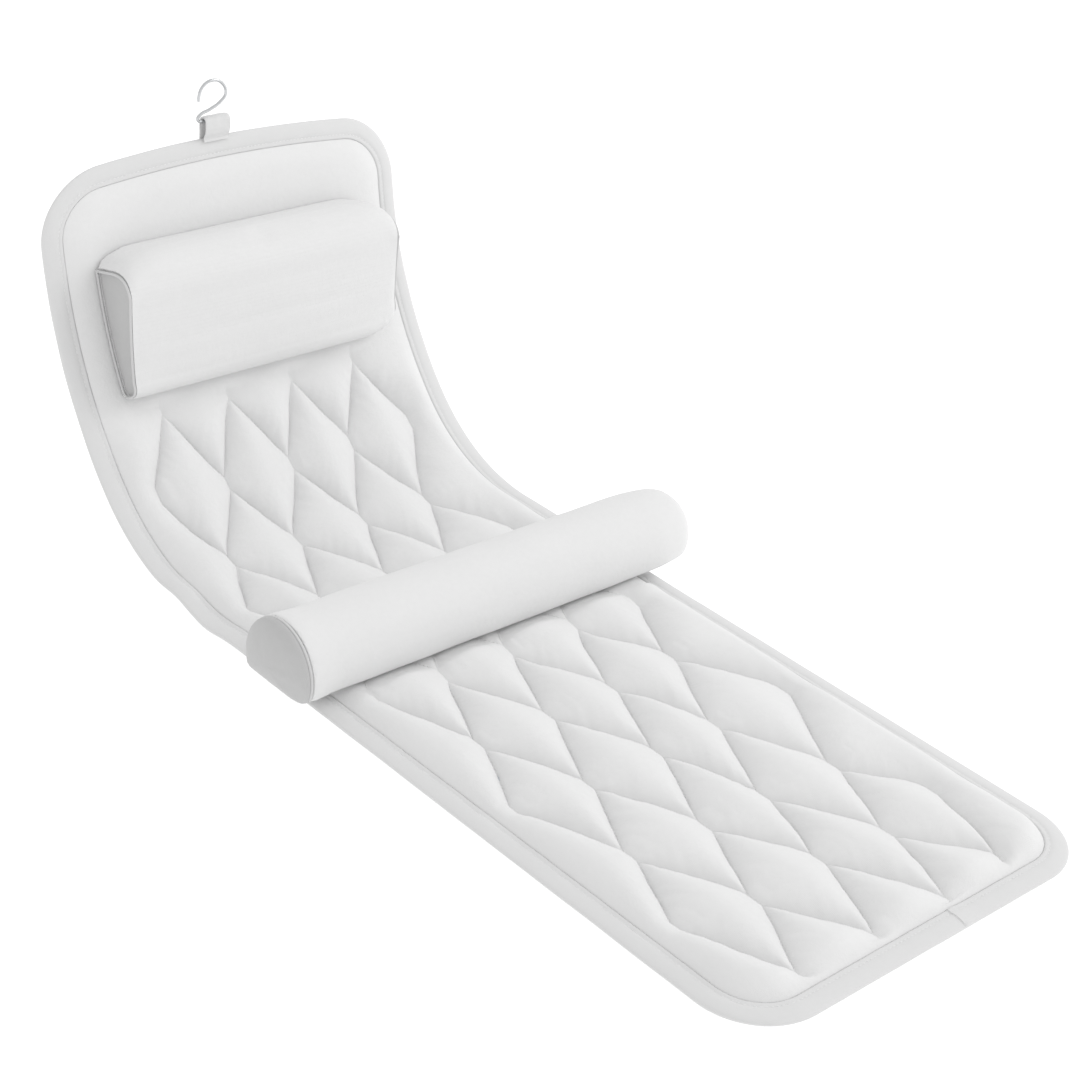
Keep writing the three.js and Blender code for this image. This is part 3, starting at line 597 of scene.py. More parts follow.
def binding(name, path):
    points = binding_points(path, BINDING_SECTION)
    rows, columns = points.shape[:2]
    run, girth = run_along(points[:, 0]), run_along(BINDING_SECTION)
    cloth = np.stack(np.broadcast_arrays(run[:, None], girth[None, :]), axis=-1)
    return finish_mesh(sewn(name, points.reshape(-1, 3), tube_faces(rows, columns), cloth.reshape(-1, 2)), 50)


# Stitches
def stitch_shape():
    """One slender stitch, a bead along x."""
    deselect()
    bpy.ops.mesh.primitive_uv_sphere_add(segments=6, ring_count=4, radius=1)
    bead = bpy.context.object
    bead.data.transform(Matrix.Rotation(math.pi / 2, 4, "Y"))
    shape = points_of(bead), [tuple(face.vertices) for face in bead.data.polygons]
    bpy.data.objects.remove(bead)
    return shape


def stitch_places(start, end):
    """Middles (x, s) and directions of the quilting's stitches, which stop short of the crossings."""
    places = []
    count = int(SEAM_EDGE / STITCH_PITCH) - 2
    share = (np.arange(count) + 1.5) / (count + 2)
    for j in range(HALF_ROWS):
        for i in range(2 * DIAMONDS_ACROSS + 1):
            for lean in (-1, 1):
                if (i + j) % 2 == 0 or not 0 <= i + lean <= 2 * DIAMONDS_ACROSS:
                    continue
                ends = [np.stack(wandered((i + lean * at) * HALF_WIDE - LATTICE_HALF,
                                          FOOT_MARGIN + (j + SEAMS_MEET + at * SEAMS_APART) * HALF_LONG), axis=1)
                        for at in (share - 0.01, share + 0.01)]
                middles, directions = (ends[0] + ends[1]) / 2, unit(ends[1] - ends[0])
                places += [(*middle, *go) for middle, go in zip(middles, directions)]
    return [place for place in places if start <= place[1] < end]


def binding_stitch_places(path):
    """Stitches along the tape's inner edge, evenly spaced round its path."""
    x, s, in_x, in_s = (np.array(values) for values in zip(*path))
    line = np.stack([x + in_x * BINDING_STITCH, s + in_s * BINDING_STITCH], axis=1)
    run = run_along(line)
    middles = np.arange(STITCH_PITCH / 2, run[-1], STITCH_PITCH)
    at = [np.stack([np.interp(middles + d, run, line[:, k]) for k in (0, 1)], axis=1) for d in (-0.001, 0, 0.001)]
    return [(*middle, *go) for middle, go in zip(at[1], unit(at[2] - at[0]))]


def thread(name, places, height):
    """All the stitches of one stretch, each laid along its seam."""
    beads, bead_faces = stitch_shape()
    x, s, go_x, go_s = (np.array(values) for values in zip(*places))
    middle = on_arched_mat(x, s, height)
    step = 0.001
    along = unit(on_arched_mat(x + go_x * step, s + go_s * step, height) - middle)
    up = unit(on_arched_mat(x, s, height + step) - middle)
    side = np.cross(up, along)
    points = (middle[:, None] + along[:, None] * beads[None, :, :1] * STITCH_LENGTH / 2
              + side[:, None] * beads[None, :, 1:2] * STITCH_RADIUS
              + up[:, None] * beads[None, :, 2:] * STITCH_RADIUS)
    faces = [tuple(k * len(beads) + v for v in face) for k in range(len(middle)) for face in bead_faces]
    cloth = np.repeat(np.stack([x, s], axis=1), len(beads), axis=0)
    return finish_mesh(sewn(name, points.reshape(-1, 3), faces, cloth), 80)


# Stuffed covers
def stuffed(piece, held):
    """Swells a closed cover by cloth pressure from inside; held points stay, and none moves past the swell."""
    rest = points_of(piece)
    group = piece.vertex_groups.new(name="held")
    group.add([int(k) for k in np.flatnonzero(held(rest))], 1.0, "REPLACE")
    activate(piece)
    cloth = piece.modifiers.new("stuffing", "CLOTH")
    cloth.settings.use_pressure = True
    cloth.settings.uniform_pressure_force = STUFFING_PRESSURE
    cloth.settings.effector_weights.gravity = 0
    cloth.settings.vertex_group_mass = group.name
    cloth.point_cache.frame_start = 1
    cloth.point_cache.frame_end = 20
    for step in range(1, 21):
        bpy.context.scene.frame_set(step)
    bpy.ops.object.modifier_apply(modifier=cloth.name)
    bpy.context.scene.frame_set(1)
    moved = points_of(piece) - rest
    far = np.linalg.norm(moved, axis=1, keepdims=True)
    set_points(piece, rest + moved * np.minimum(1, STUFFING_SWELL / np.maximum(far, 1e-9)))


def remeshed(piece, voxel):
    activate(piece)
    piece.data.remesh_voxel_size = voxel
    bpy.ops.object.voxel_remesh()


def closed_loft(name, rings):
    """A closed cover through rings of points, with flat ends."""
    rows, columns = rings.shape[:2]
    return finish_mesh(sewn(name, rings.reshape(-1, 3), tube_faces(rows, columns), np.zeros((rows * columns, 2))))


def roll_outline(radius, count=72):
    """The bolster's section: round above, flat below, with soft lower corners; (s, h) from the front over the top."""
    turn = np.linspace(0, 2 * math.pi, count, endpoint=False)
    to_base = BOLSTER_AXIS / np.maximum(-np.sin(turn), 0.05)
    mix = np.clip(0.5 + (to_base - radius) / (2 * BOLSTER_ROUND), 0, 1)
    reach = to_base * (1 - mix) + radius * mix - BOLSTER_ROUND * mix * (1 - mix)
    s = BOLSTER_MIDDLE - reach * np.cos(turn)
    return np.stack([s, BOLSTER_BASE + BOLSTER_AXIS + reach * np.sin(turn)], axis=1)


def drawn_in(x):
    """The bolster's radius along it: drawn in a little at the ends, with a round shoulder at the right."""
    slumped = 1 - arch(1 - np.clip((x - BOLSTER_ENDS[1]) / BOLSTER_SHOULDER + 1, 0, 1))
    return BOLSTER_RADIUS - BOLSTER_DRAW_IN * np.abs(2 * x / BOLSTER_LENGTH) ** 5 - BOLSTER_SLUMP * slumped


def from_roll_end(x):
    """How far in from the nearer end of the roll's cloth, which stops at the cords."""
    return np.minimum(x - BOLSTER_ENDS[-1], BOLSTER_ENDS[1] - x) - ROLL_SEAM


def bolster_roll():
    stations = np.linspace(BOLSTER_ENDS[-1] + ROLL_SEAM, BOLSTER_ENDS[1] - ROLL_SEAM, 61)
    slack = 0.0025 * smooth(from_roll_end(stations) / 0.030)
    rings = np.array([on_mat(x, *roll_outline(drawn_in(x) - less).T) for x, less in zip(stations, slack)])
    roll = closed_loft("bolster_roll", rings)
    remeshed(roll, 0.0045)
    base = UNDERSIDE_Z + BOLSTER_BASE
    stuffed(roll, lambda p: (from_roll_end(p[:, 0]) < HELD_MARGIN) | (p[:, 2] < base + HELD_MARGIN))
    apply_modifier(roll, "SUBSURF", levels=1, render_levels=1)
    points = points_of(roll)
    middle = np.array([0, FOOT_Y + BOLSTER_MIDDLE, base + BOLSTER_AXIS])
    out = (points - middle) * (0, 1, 1)
    turn = np.arctan2(out[:, 2], out[:, 1])
    reach = np.linalg.norm(out, axis=1)
    to_end = np.maximum(from_roll_end(points[:, 0]), 0)
    gather = np.exp(-to_end / 0.016) * smooth(to_end / 0.004) * 0.0010
    lean = np.sign(points[:, 0])
    fold = gather * uneven(np.cos(turn) * 3.6, np.sin(turn) * 3.6, lean * 9.0)
    fold += 0.0007 * uneven(points[:, 0] / 0.05, np.cos(turn) * 1.3, np.sin(turn) * 1.3)
    points += out / np.maximum(reach, 1e-6)[:, None] * fold[:, None]
    points[:, 2] = np.maximum(points[:, 2], base)
    set_points(roll, points)
    finish_mesh(roll, 50)
    points = points_of(roll)
    turn = np.arctan2(points[:, 2] - middle[2], points[:, 1] - middle[1])
    lay_cloth_map(roll, np.stack([points[:, 0], np.mod(turn + math.pi / 2, 2 * math.pi) * BOLSTER_RADIUS], axis=1))
    return roll


def panel_rings(outline, centre, shares, x):
    """Points and cloth places of an end panel, in rings from its outline in towards its centre."""
    rings = centre + (outline - centre) * shares[..., None]
    return on_mat(x, rings[..., 0], rings[..., 1]).reshape(-1, 3), rings.reshape(-1, 2)


def bolster_cap(name, side):
    """A domed end, gathered a little at its seam."""
    outline = roll_outline(drawn_in(BOLSTER_ENDS[side]) - CAP_TUCKS[side])
    centre = np.array([BOLSTER_MIDDLE, BOLSTER_BASE + BOLSTER_AXIS * 1.3])
    spread = np.linspace(0, 2 * math.pi, len(outline), endpoint=False)
    turn = np.linspace(0, math.radians(86), 16)[:, None]
    gather = 0.0006 * np.sin(2 * turn) * uneven(np.cos(spread) * 3.2, np.sin(spread) * 3.2, side * 4.0)
    x = BOLSTER_ENDS[side] + side * (ROLL_SEAM + CAP_DOMES[side] * np.sin(turn) + gather)
    points, cloth = panel_rings(outline, centre, np.cos(turn), x)
    return finish_mesh(sewn(name, points, tube_faces(len(turn), len(outline)), cloth), 50)


def outline_area(outline):
    ahead = np.roll(outline, -1, axis=0)
    return np.sum(outline[:, 0] * ahead[:, 1] - ahead[:, 0] * outline[:, 1]) / 2


def inset(outline, distance):
    """A closed outline moved in along its bisected normals, with the unit inward directions."""
    before, after = (np.roll(outline, shift, axis=0) for shift in (1, -1))
    go = unit(unit(outline - before) + unit(after - outline))
    inward = np.stack([-go[:, 1], go[:, 0]], axis=1) * np.sign(outline_area(outline))
    return outline + inward * distance, inward


def piping(name, outline, x, radius, depth):
    """A round cord sewn along an end's outline, its middle set in by a depth."""
    line, inward = inset(outline, depth)
    points = on_mat(x, *line.T)
    towards = unit(on_mat(x, *(line + inward * 0.001).T) - points)
    return finish_mesh(tube_along(name, points, towards, radius), 80)


# Wedge pillow
def curve(start, control, end, count):
    t = np.linspace(0, 1, count, endpoint=False)[:, None]
    return (1 - t) ** 2 * np.array(start) + 2 * t * (1 - t) * np.array(control) + t * t * np.array(end)


def wedge_outline(x):
    """The pillow's section (s, h) at a place across it: bowed front, rounded top, flat back, round lower end."""
    to_end = min(abs(x) / PILLOW_HALF, 1)
    past = max((to_end - 1) * PILLOW_HALF / PILLOW_SHOULDER + 1, 0)
    away = 1 - math.sqrt(1 - past ** 2)
    top = PILLOW_HEIGHT - PILLOW_DROP * away
    low = PILLOW_CORNER * away if x > 0 else 0
    end = low - PILLOW_OVERHANG
    rounding, neck = PILLOW_TOP_DEPTH / 2, PILLOW_BOTTOM_DEPTH / 2
    lip, chin = (end, neck), (end + neck, PILLOW_BOTTOM_DEPTH)
    shoulder, crest = (top - rounding, PILLOW_TOP_DEPTH), (top, PILLOW_TOP_DEPTH - rounding)
    bow = ((shoulder[0] + chin[0]) / 2,
           (PILLOW_TOP_DEPTH + PILLOW_BOTTOM_DEPTH) / 2 + PILLOW_CROWN * (2 - 1.4 * to_end ** 4))
    outline = np.concatenate([
        curve(lip, (end, PILLOW_BOTTOM_DEPTH), chin, 7), curve(chin, bow, shoulder, 22),
        curve(shoulder, (top, PILLOW_TOP_DEPTH), crest, 10), np.linspace(crest, (top, 0), 6, endpoint=False),
        np.linspace((top, 0), (low, 0), 20, endpoint=False), curve((low, 0), (end, 0), lip, 8)])
    return outline + np.array([PILLOW_START, PILLOW_BACK])


def pillow_cover():
    stations = np.concatenate([np.linspace(-1, 1, 45) * (PILLOW_HALF - 0.004),
                               *[side * (PILLOW_HALF + np.array([-0.002, 0, 0.008])) for side in (-1, 1)]])
    rings = []
    for x in np.sort(stations):
        rolled = 0.0014 * float(smooth((abs(x) - PILLOW_HALF + 0.005) / 0.006))
        rings.append(on_mat(x, *inset(wedge_outline(x), rolled)[0].T))
    cover = closed_loft("neck_pillow", np.array(rings))
    remeshed(cover, 0.0038)

    def held(points):
        h = off_back_arc(points)[1]
        return (np.abs(points[:, 0]) > PILLOW_HALF - 0.006) | (h < PILLOW_BACK + HELD_MARGIN)

    stuffed(cover, held)
    apply_modifier(cover, "SMOOTH", factor=0.5, iterations=5)
    apply_modifier(cover, "SUBSURF", levels=1, render_levels=1)
    activate(cover)
    bpy.ops.object.mode_set(mode="EDIT")
    for side in (-1, 1):
        bpy.ops.mesh.select_all(action="SELECT")
        bpy.ops.mesh.bisect(plane_co=(side * PILLOW_HALF, 0, 0), plane_no=(side, 0, 0), clear_outer=True)
    bpy.ops.object.mode_set(mode="OBJECT")
    apply_modifier(cover, "SOLIDIFY", thickness=COVER_THICKNESS, offset=-1)
    finish_mesh(cover, 50)
    points = points_of(cover)
    s, h = off_back_arc(points)
    outline = wedge_outline(0)
    run = run_along(outline)
    nearest = np.argmin((s[:, None] - outline[:, 0]) ** 2 + (h[:, None] - outline[:, 1]) ** 2, axis=1)
    lay_cloth_map(cover, np.stack([points[:, 0], run[nearest]], axis=1))
    return cover


def pillow_gusset(name, side):
    """The sunken end panel, bellied a little by the filling."""
    outline, _ = inset(wedge_outline(side * (PILLOW_HALF - 0.0012)), COVER_THICKNESS + 0.0006)
    share = np.linspace(1, 0.04, 12)[:, None]
    x = side * (PILLOW_HALF - GUSSET_RECESS + GUSSET_BULGE * (1 - share ** 2))
    points, cloth = panel_rings(outline, outline.mean(axis=0), share, x)
    faces = tube_faces(len(share), len(outline))
    del faces[-2]  # The outer ring stays open
    panel = sewn(name, points, faces, cloth)
    apply_modifier(panel, "SOLIDIFY", thickness=0.0015, offset=-side)
    return finish_mesh(panel, 50)


# Hook and tab
def head_edge_frame():
    """A frame near the middle of the head edge: Y along the mat, Z out of its face."""
    y, z, angle = bend_at(np.array(MAT_LENGTH))
    place = Matrix.Translation((TAB_ASIDE, FOOT_Y + float(y), UNDERSIDE_Z + float(z)))
    return place @ Matrix.Rotation(float(angle), 4, "X")


def hanging_tab():
    """A puffed loop of tape over the wire, sewn to the binding's edge in front and behind it."""
    loop = 0.0042
    back = -0.0011
    turn = np.linspace(math.pi * 0.5, -math.pi * 0.5, 17)
    fold = np.stack([TAB_RISE - 0.0005 + loop * np.cos(turn), WIRE_HEIGHT + 1.15 * loop * np.sin(turn)], axis=1)
    front = [(-0.0030, 0.0070), (-0.0010, 0.0059), (0.0012, 0.0064), (0.0050, 0.0083), (0.0100, 0.0091)]
    behind = [(0.0100, -0.0016), (0.0040, -0.0014), (-0.001, back), (-TAB_LAP / 2, back), (-TAB_LAP, back)]
    line = np.concatenate([front, fold, behind])
    run = run_along(line)
    even = np.linspace(0, run[-1], 64)
    y, z = np.interp(even, run, line[:, 0]), np.interp(even, run, line[:, 1])
    x = np.linspace(-TAB_WIDTH / 2, TAB_WIDTH / 2, 17)
    drawn = 1 - 0.03 * smooth(y / 0.020)[:, None] * np.abs(x / x[-1])[None, :] ** 6
    slack = 0.0006 * uneven(x[None, :] / 0.009, even[:, None] / 0.012, 14.0) * smooth(y / 0.006)[:, None]
    points = np.stack(np.broadcast_arrays(x[None, :], y[:, None] * drawn, z[:, None] + slack), axis=-1)
    cloth = np.stack(np.broadcast_arrays(x[None, :], even[:, None]), axis=-1).reshape(-1, 2)
    tab = sewn("hanging_tab", points.reshape(-1, 3), grid_faces(*points.shape[:2]), cloth)
    apply_modifier(tab, "SOLIDIFY", thickness=TAPE_THICKNESS, offset=0)
    apply_modifier(tab, "BEVEL", width=0.0004, segments=2, limit_method="ANGLE")
    tab.data.transform(head_edge_frame())
    return finish_mesh(tab, 50)


def hanging_hook():
    """One bent wire: a leg through the tab, a slanting shank and the open bow."""
    leg = TAB_WIDTH / 2 + 3 * WIRE_RADIUS
    leg_end = TAB_WIDTH / 2 - WIRE_RADIUS
    bow_y = HOOK_HEIGHT - BOW_RADIUS
    bow = [(BOW_ASIDE + BOW_RADIUS * math.cos(a), bow_y + BOW_RADIUS * math.sin(a))
           for a in np.linspace(0, math.pi, 5)]
    route = [(leg_end, 0), (leg_end / 3, 0), (-leg / 3, 0), (WIRE_RADIUS - leg, 0), (-leg, WIRE_RADIUS * 0.4),
             (-leg - WIRE_RADIUS, 2 * WIRE_RADIUS), (-leg + WIRE_RADIUS, 4.5 * WIRE_RADIUS),
             (-leg / 3, bow_y * 0.45), (leg / 3, bow_y * 0.72), *bow,
             (BOW_ASIDE - BOW_RADIUS, bow_y - 2 * WIRE_RADIUS)]
    deselect()
    bpy.ops.curve.primitive_bezier_curve_add()
    hook = bpy.context.object
    hook.name = "hanging_hook"
    spline = hook.data.splines[0]
    spline.bezier_points.add(len(route) - 2)
    for point, (x, y) in zip(spline.bezier_points, route):
        point.co = (x, TAB_RISE + y, WIRE_HEIGHT)
        point.handle_left_type = point.handle_right_type = "AUTO"
    hook.data.resolution_u = 10
    hook.data.bevel_depth = WIRE_RADIUS
    hook.data.bevel_resolution = 4
    hook.data.use_fill_caps = True
    bpy.ops.object.convert(target="MESH")
    hook.data.transform(head_edge_frame())
    return finish_mesh(hook, 50)


# Suction cups
def suction_cup():
    """A dished cup drawn up ring by ring from its button, along Z, with h measured as on the mat."""
    profile = [(0.0060, 0.0055), (0.0070, 0.0050), (0.0070, 0.0040), (0.0064, 0.0037), (0.0040, 0.0037),
               (0.0040, 0.0014), (0.0074, 0.0014), (0.0080, 0.0009), (0.0081, -0.0004), (0.0090, -0.0016),
               (0.0112, -0.0032), (0.0138, -0.0052), (0.0157, -0.0072), (0.0168, -0.0087), (0.0170, -0.0093),
               (0.0167, -0.0095), (0.0155, -0.0094), (0.0128, -0.0076), (0.0096, -0.0064), (0.0050, -0.0060)]
    deselect()
    radius, height = profile[0]
    bpy.ops.mesh.primitive_circle_add(vertices=40, radius=radius, fill_type="NGON", location=(0, 0, height))
    cup = bpy.context.object
    bpy.ops.object.transform_apply(location=True)
    bpy.ops.object.mode_set(mode="EDIT")
    bpy.ops.mesh.select_all(action="SELECT")
    for (r0, h0), (r1, h1) in zip(profile, profile[1:]):
        bpy.ops.mesh.extrude_region_move(TRANSFORM_OT_translate={"value": (0, 0, h1 - h0)})
        bpy.ops.transform.resize(value=(r1 / r0, r1 / r0, 1), center_override=(0, 0, h1))
    bpy.ops.object.mode_set(mode="OBJECT")
    return cup


def set_cups():
    cup = suction_cup()
    cups = []
    places = [(row, body, side) for row, body in zip(CUP_ROWS, CUP_BODIES) for side in (-1, 1)]
    for k, (row, body, side) in enumerate(places, 1):
        copy = bpy.data.objects.new(f"sucker_{k}", cup.data.copy())
        bpy.context.scene.collection.objects.link(copy)
        y, z, angle = bend_at(np.array(row))
        copy.data.transform(Matrix.Translation((side * CUP_X, FOOT_Y + float(y), UNDERSIDE_Z + float(z)))
                            @ Matrix.Rotation(float(angle), 4, "X"))
        finish_mesh(copy, 35)
        dress(copy, cup_rubber, "cup_rubber", body, f"suction_cup_{k}")
        cups.append(copy)
    bpy.data.objects.remove(cup)
    return cups


# Materials
def mesh_weave_group():
    """Knitted mesh: raised crossings with pores between them, and a slow drift of tone."""
    group = bpy.data.node_groups.new("mesh_weave", "ShaderNodeTree")
    group.interface.new_socket("Cloth", in_out="INPUT", socket_type="NodeSocketVector")
    pitch = group.interface.new_socket("Pitch", in_out="INPUT", socket_type="NodeSocketFloat")
    pitch.default_value = 0.0016
    group.interface.new_socket("Height", in_out="OUTPUT", socket_type="NodeSocketFloat")
    group.interface.new_socket("Tone", in_out="OUTPUT", socket_type="NodeSocketFloat")
    nodes, links = group.nodes, group.links
    inputs, outputs = nodes.new("NodeGroupInput"), nodes.new("NodeGroupOutput")

    def math_node(operation, *values):
        node = nodes.new("ShaderNodeMath")
        node.operation = operation
        for socket, value in zip(node.inputs, values):
            if isinstance(value, (int, float)):
                socket.default_value = value
            else:
                links.new(value, socket)
        return node.outputs[0]

    split = nodes.new("ShaderNodeSeparateXYZ")
    links.new(inputs.outputs["Cloth"], split.inputs[0])
    turns = math_node("DIVIDE", 2 * math.pi, inputs.outputs["Pitch"])
    across, along = (math_node("MULTIPLY", split.outputs[k], turns) for k in (0, 1))
    warp = math_node("SINE", math_node("ADD", across, along))
    weft = math_node("SINE", math_node("SUBTRACT", across, along))
    knots = math_node("MULTIPLY_ADD", math_node("MULTIPLY", warp, weft), 0.5, 0.5)

    def unevenness(scale, detail):
        node = nodes.new("ShaderNodeTexNoise")
        node.inputs["Scale"].default_value = scale
        node.inputs["Detail"].default_value = detail
        links.new(inputs.outputs["Cloth"], node.inputs["Vector"])
        return node.outputs["Fac"]

    drift = math_node("MULTIPLY_ADD", unevenness(160, 4), 0.5, math_node("MULTIPLY", unevenness(14, 3), 0.5))
    tone = math_node("MULTIPLY_ADD", knots, 0.3, math_node("MULTIPLY", drift, 0.7))
    nap = math_node("MULTIPLY_ADD", unevenness(260, 5), 2.0, math_node("MULTIPLY", knots, 0.5))
    links.new(nap, outputs.inputs["Height"])
    links.new(tone, outputs.inputs["Tone"])
    return group


def new_material(name):
    material = bpy.data.materials.new(name)
    material.use_nodes = True
    tree = material.node_tree
    return material, tree.nodes, tree.links, tree.nodes["Principled BSDF"]


def vary_roughness(nodes, links, shader, pattern, low, high):
    """Roughness that runs from low to high as a pattern's value runs from 0 to 1."""
    rough = nodes.new("ShaderNodeMapRange")
    rough.inputs["To Min"].default_value = low
    rough.inputs["To Max"].default_value = high
    links.new(pattern, rough.inputs["Value"])
    links.new(rough.outputs["Result"], shader.inputs["Roughness"])


def cloth_material(name, weave, dark, light, pitch, bump, sheen=0.15):
    """A woven or knitted white cloth."""
    material, nodes, links, shader = new_material(name)
    shader.inputs["Sheen Weight"].default_value = sheen
    shader.inputs["Sheen Roughness"].default_value = 0.5
    shader.inputs["Specular IOR Level"].default_value = 0.2
    place = nodes.new("ShaderNodeUVMap")
    place.uv_map = "cloth"
    pattern = nodes.new("ShaderNodeGroup")
    pattern.node_tree = weave
    pattern.inputs["Pitch"].default_value = pitch
    links.new(place.outputs["UV"], pattern.inputs["Cloth"])
    mix = nodes.new("ShaderNodeMix")
    mix.data_type = "RGBA"
    colour_mix = [s for s in mix.inputs if s.type == "RGBA"]
    colour_mix[0].default_value = (*[dark] * 3, 1)
    colour_mix[1].default_value = (*[light] * 3, 1)
    links.new(pattern.outputs["Tone"], mix.inputs["Factor"])
    links.new([s for s in mix.outputs if s.type == "RGBA"][0], shader.inputs["Base Color"])
    vary_roughness(nodes, links, shader, pattern.outputs["Height"], 0.95, 0.82)
    relief = nodes.new("ShaderNodeBump")
    relief.inputs["Strength"].default_value = bump
    relief.inputs["Distance"].default_value = pitch * 0.3
    links.new(pattern.outputs["Height"], relief.inputs["Height"])
    links.new(relief.outputs["Normal"], shader.inputs["Normal"])
    return material


def speckled_material(name, dark, light, scale, roughness, **sockets):
    """A smooth solid material with a fine speckle in its colour and gloss."""
    material, nodes, links, shader = new_material(name)
    for socket, value in sockets.items():
        shader.inputs[socket.replace("_", " ")].default_value = value
    place = nodes.new("ShaderNodeTexCoord")
    speck = nodes.new("ShaderNodeTexNoise")
    speck.inputs["Scale"].default_value = scale
    speck.inputs["Detail"].default_value = 4
    links.new(place.outputs["Object"], speck.inputs["Vector"])
    ramp = nodes.new("ShaderNodeValToRGB")
    ramp.color_ramp.elements[0].color = (*dark, 1)
    ramp.color_ramp.elements[1].color = (*light, 1)
    links.new(speck.outputs["Fac"], ramp.inputs["Fac"])
    links.new(ramp.outputs["Color"], shader.inputs["Base Color"])
    vary_roughness(nodes, links, shader, speck.outputs["Fac"], roughness * 0.8, roughness * 1.2)
    return material


def dress(piece, material, slot, body, *nodes):
    """Gives a piece its material, hides the CAD nodes that it stands for, and parents it to its body; given a pair of
    bodies it only has its transform baked in. The slot is not used.
    """
    piece.data.materials.clear()
    piece.data.materials.append(material)
    if nodes:
        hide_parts(*nodes)
    if isinstance(body, str):
        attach(piece, body)
    else:
        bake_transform(piece)


def fold_between(first, second, start, end):
    """The blend of a stretch of the mat across one fold."""
    middle = 0.006
    return first, second, tuple(on_mat(0.0, start, middle)), tuple(on_mat(0.0, end, middle))


# Camera, light and floor
def set_camera():
    back = Vector((math.sin(CAMERA_TURN) * math.cos(CAMERA_RISE),
                   -math.cos(CAMERA_TURN) * math.cos(CAMERA_RISE), math.sin(CAMERA_RISE)))
    level = Vector((math.cos(CAMERA_TURN), math.sin(CAMERA_TURN), 0))
    upright = back.cross(level)
    right = level * math.cos(CAMERA_ROLL) + upright * math.sin(CAMERA_ROLL)
    up = upright * math.cos(CAMERA_ROLL) - level * math.sin(CAMERA_ROLL)
    data = bpy.data.cameras.new("camera")
    data.lens = LENS_MM
    data.sensor_width = 36
    camera = bpy.data.objects.new("camera", data)
    bpy.context.scene.collection.objects.link(camera)
    camera.matrix_world = Matrix((right, up, back)).transposed().to_4x4()
    camera.location = (CAMERA_TARGET + right * CAMERA_ASIDE[0] + up * CAMERA_ASIDE[1]
                       + back * CAMERA_DISTANCE)
    bpy.context.scene.camera = camera


def set_light():
    world = bpy.data.worlds.new("studio")
    bpy.context.scene.world = world
    world.use_nodes = True
    sky = world.node_tree.nodes["Background"]
    sky.inputs["Color"].default_value = (1, 1, 1, 1)
    sky.inputs["Strength"].default_value = SKY_STRENGTH
    key = bpy.data.lights.new("key", "AREA")
    key.energy = KEY_WATTS
    key.size = KEY_SIZE
    lamp = bpy.data.objects.new("key", key)
    bpy.context.scene.collection.objects.link(lamp)
    lamp.location = KEY_PLACE
    lamp.rotation_euler = (KEY_AIM - lamp.location).to_track_quat("-Z", "Y").to_euler()
    bpy.context.scene.view_settings.view_transform = "Standard"


def set_floor():
    deselect()
    bpy.ops.mesh.primitive_plane_add(size=60)
    floor = bpy.context.object
    floor.name = "floor"
    material, _, _, shader = new_material("pale_floor")
    shader.inputs["Base Color"].default_value = (0.5, 0.5, 0.5, 1)
    shader.inputs["Roughness"].default_value = 0.9
    shader.inputs["Specular IOR Level"].default_value = 0.1
    shader.inputs["Emission Color"].default_value = (1, 1, 1, 1)
    shader.inputs["Emission Strength"].default_value = FLOOR_GLOW
    floor.data.materials.append(material)


set_camera()
set_light()
set_floor()

weave = mesh_weave_group()
quilted_mesh = cloth_material("quilted_mesh", weave, 0.73, 0.81, 0.0018, 0.30)
backing_mesh = cloth_material("backing_mesh", weave, 0.68, 0.78, 0.0030, 0.30)
binding_tape = cloth_material("binding_tape", weave, 0.66, 0.73, 0.0010, 0.10)
pillow_mesh = cloth_material("pillow_mesh", weave, 0.72, 0.80, 0.0014, 0.30)
# The end panels' cloth is the same white mesh as the cover, darkened well below it as painted shade for ends turned
# from the light
gusset_mesh = cloth_material("gusset_mesh", weave, 0.46, 0.54, 0.0020, 0.25)
piping_cloth = cloth_material("piping_cloth", weave, 0.56, 0.64, 0.0009, 0.15)
sewing_thread = cloth_material("sewing_thread", weave, 0.76, 0.83, 0.0004, 0.10, sheen=0.3)
cup_rubber = speckled_material("cup_rubber", (0.62, 0.68, 0.72), (0.74, 0.79, 0.82), 60, 0.28,
                               Transmission_Weight=0.35, IOR=1.45)
steel_wire = speckled_material("steel_wire", (0.52, 0.53, 0.54), (0.64, 0.65, 0.66), 400, 0.28, Metallic=1.0)

# The mat, in three stretches that each span one fold
folds = [fold_between("seat", "hip", FOLDS_START, CUTS[0] - CUT_MARGIN),
         fold_between("hip", "back", CUTS[0] + CUT_MARGIN, CUTS[1] - CUT_MARGIN),
         fold_between("back", "head", CUTS[1] + CUT_MARGIN, FOLDS_END)]
stretches = ["lower", "hip", "upper"]
spans = [(0.0, CUTS[0]), (CUTS[0], CUTS[1]), (CUTS[1], MAT_LENGTH)]
pad_nodes = [("seat_quilt_panel", "seat_core_pad"), ("hip_quilt_panel", "hip_core_pad"),
             ("back_quilt_panel", "back_core_pad", "head_panel", "head_core_pad")]
backing_nodes = [("seat_backing",), ("hip_backing",), ("back_backing", "head_backing")]
mid_paths = {side: side_path(*CUTS, sign) for side, sign in (("left", -1), ("right", 1))}
edge_paths = [[end_path(CUTS[0], False)], list(mid_paths.values()), [end_path(CUTS[1], True)]]

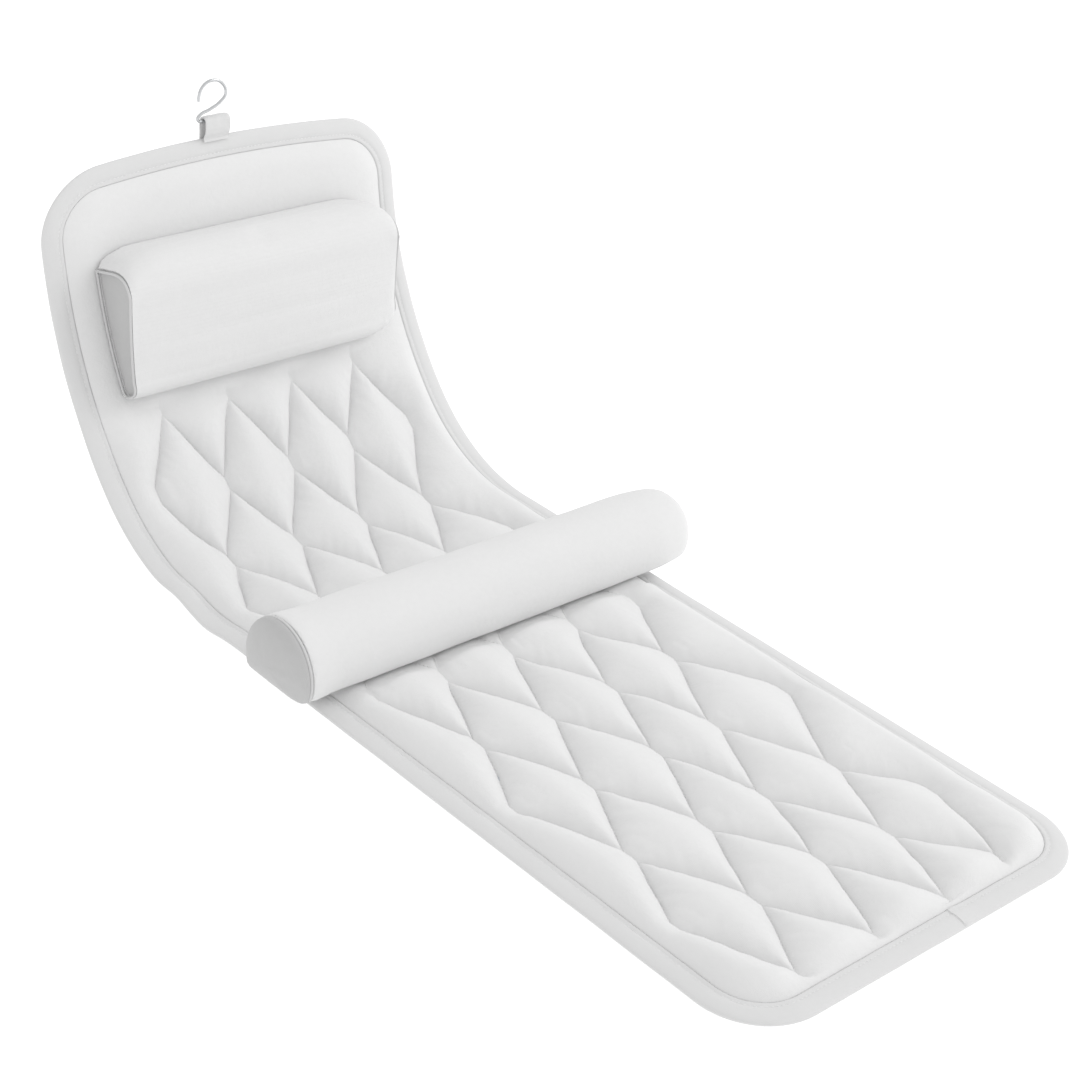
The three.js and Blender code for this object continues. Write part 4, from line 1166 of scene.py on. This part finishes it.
for stretch, span, fold, pads, sheets, paths in zip(stretches, spans, folds, pad_nodes, backing_nodes, edge_paths):
    pad = quilted_pad(f"quilt_{stretch}", *span)
    dress(pad, quilted_mesh, "quilted_mesh", fold, *pads)
    sheet = backing_sheet(f"backing_{stretch}", *span)
    dress(sheet, backing_mesh, "backing_mesh", fold, *sheets)
    places = stitch_places(*span)
    seam_heights = padding_heights(np.array(places)[:, 1])[1]
    quilting = thread(f"quilting_thread_{stretch}", places, seam_heights + 0.0003)
    dress(quilting, sewing_thread, "quilted_mesh", fold)
    places = [place for path in paths for place in binding_stitch_places(path)]
    edging = thread(f"edging_thread_{stretch}", places, BINDING_STITCH_HEIGHT)
    dress(edging, sewing_thread, "binding_tape", fold)

edges = [("foot", edge_paths[0][0], folds[0], ("foot_binding",)),
         ("left", mid_paths["left"], folds[1], ("hip_binding_left",)),
         ("right", mid_paths["right"], folds[1], ("hip_binding_right",)),
         ("head", edge_paths[2][0], folds[2], ("head_binding", "back_binding_left", "back_binding_right"))]
for place, path, fold, nodes in edges:
    edge = binding(f"binding_{place}", path)
    dress(edge, binding_tape, "binding_tape", fold, *nodes)

# Bolster
roll = bolster_roll()
dress(roll, pillow_mesh, "pillow_mesh", "seat", "bolster_cover", "bolster_core", "bolster_base_panel")
for side, sign in (("left", -1), ("right", 1)):
    cap = bolster_cap(f"bolster_cap_{side}", sign)
    # The caps take the darkened end cloth, whose colour carries painted shade
    dress(cap, gusset_mesh, "gusset_mesh", "seat", f"bolster_end_cap_{side}")
    end = BOLSTER_ENDS[sign]
    cord = piping(f"bolster_cord_{side}", roll_outline(drawn_in(end)), end, PIPING_RADIUS, PIPING_RADIUS)
    dress(cord, piping_cloth, "piping_cord", "seat", f"bolster_piping_{side}")

# Head pillow
cover = pillow_cover()
dress(cover, pillow_mesh, "pillow_mesh", "head", "pillow_cover", "pillow_core")
for side, sign in (("left", -1), ("right", 1)):
    panel = pillow_gusset(f"pillow_end_{side}", sign)
    seam = wedge_outline(sign * PILLOW_HALF)
    # The pillow's end panels take the darkened end cloth, whose colour carries painted shade
    dress(panel, gusset_mesh, "gusset_mesh", "head", f"pillow_gusset_{side}")
    cord = piping(f"pillow_cord_{side}", seam, sign * (PILLOW_HALF + 0.0014),
                  PILLOW_CORD_RADIUS, 2 * PILLOW_CORD_RADIUS)
    dress(cord, piping_cloth, "piping_cord", "head", f"pillow_piping_{side}")

# Hook, tab and cups
tab = hanging_tab()
dress(tab, binding_tape, "binding_tape", "head", "hook_tab")
dress(hanging_hook(), steel_wire, "steel_wire", "hook", "wire_hook")
set_cups()
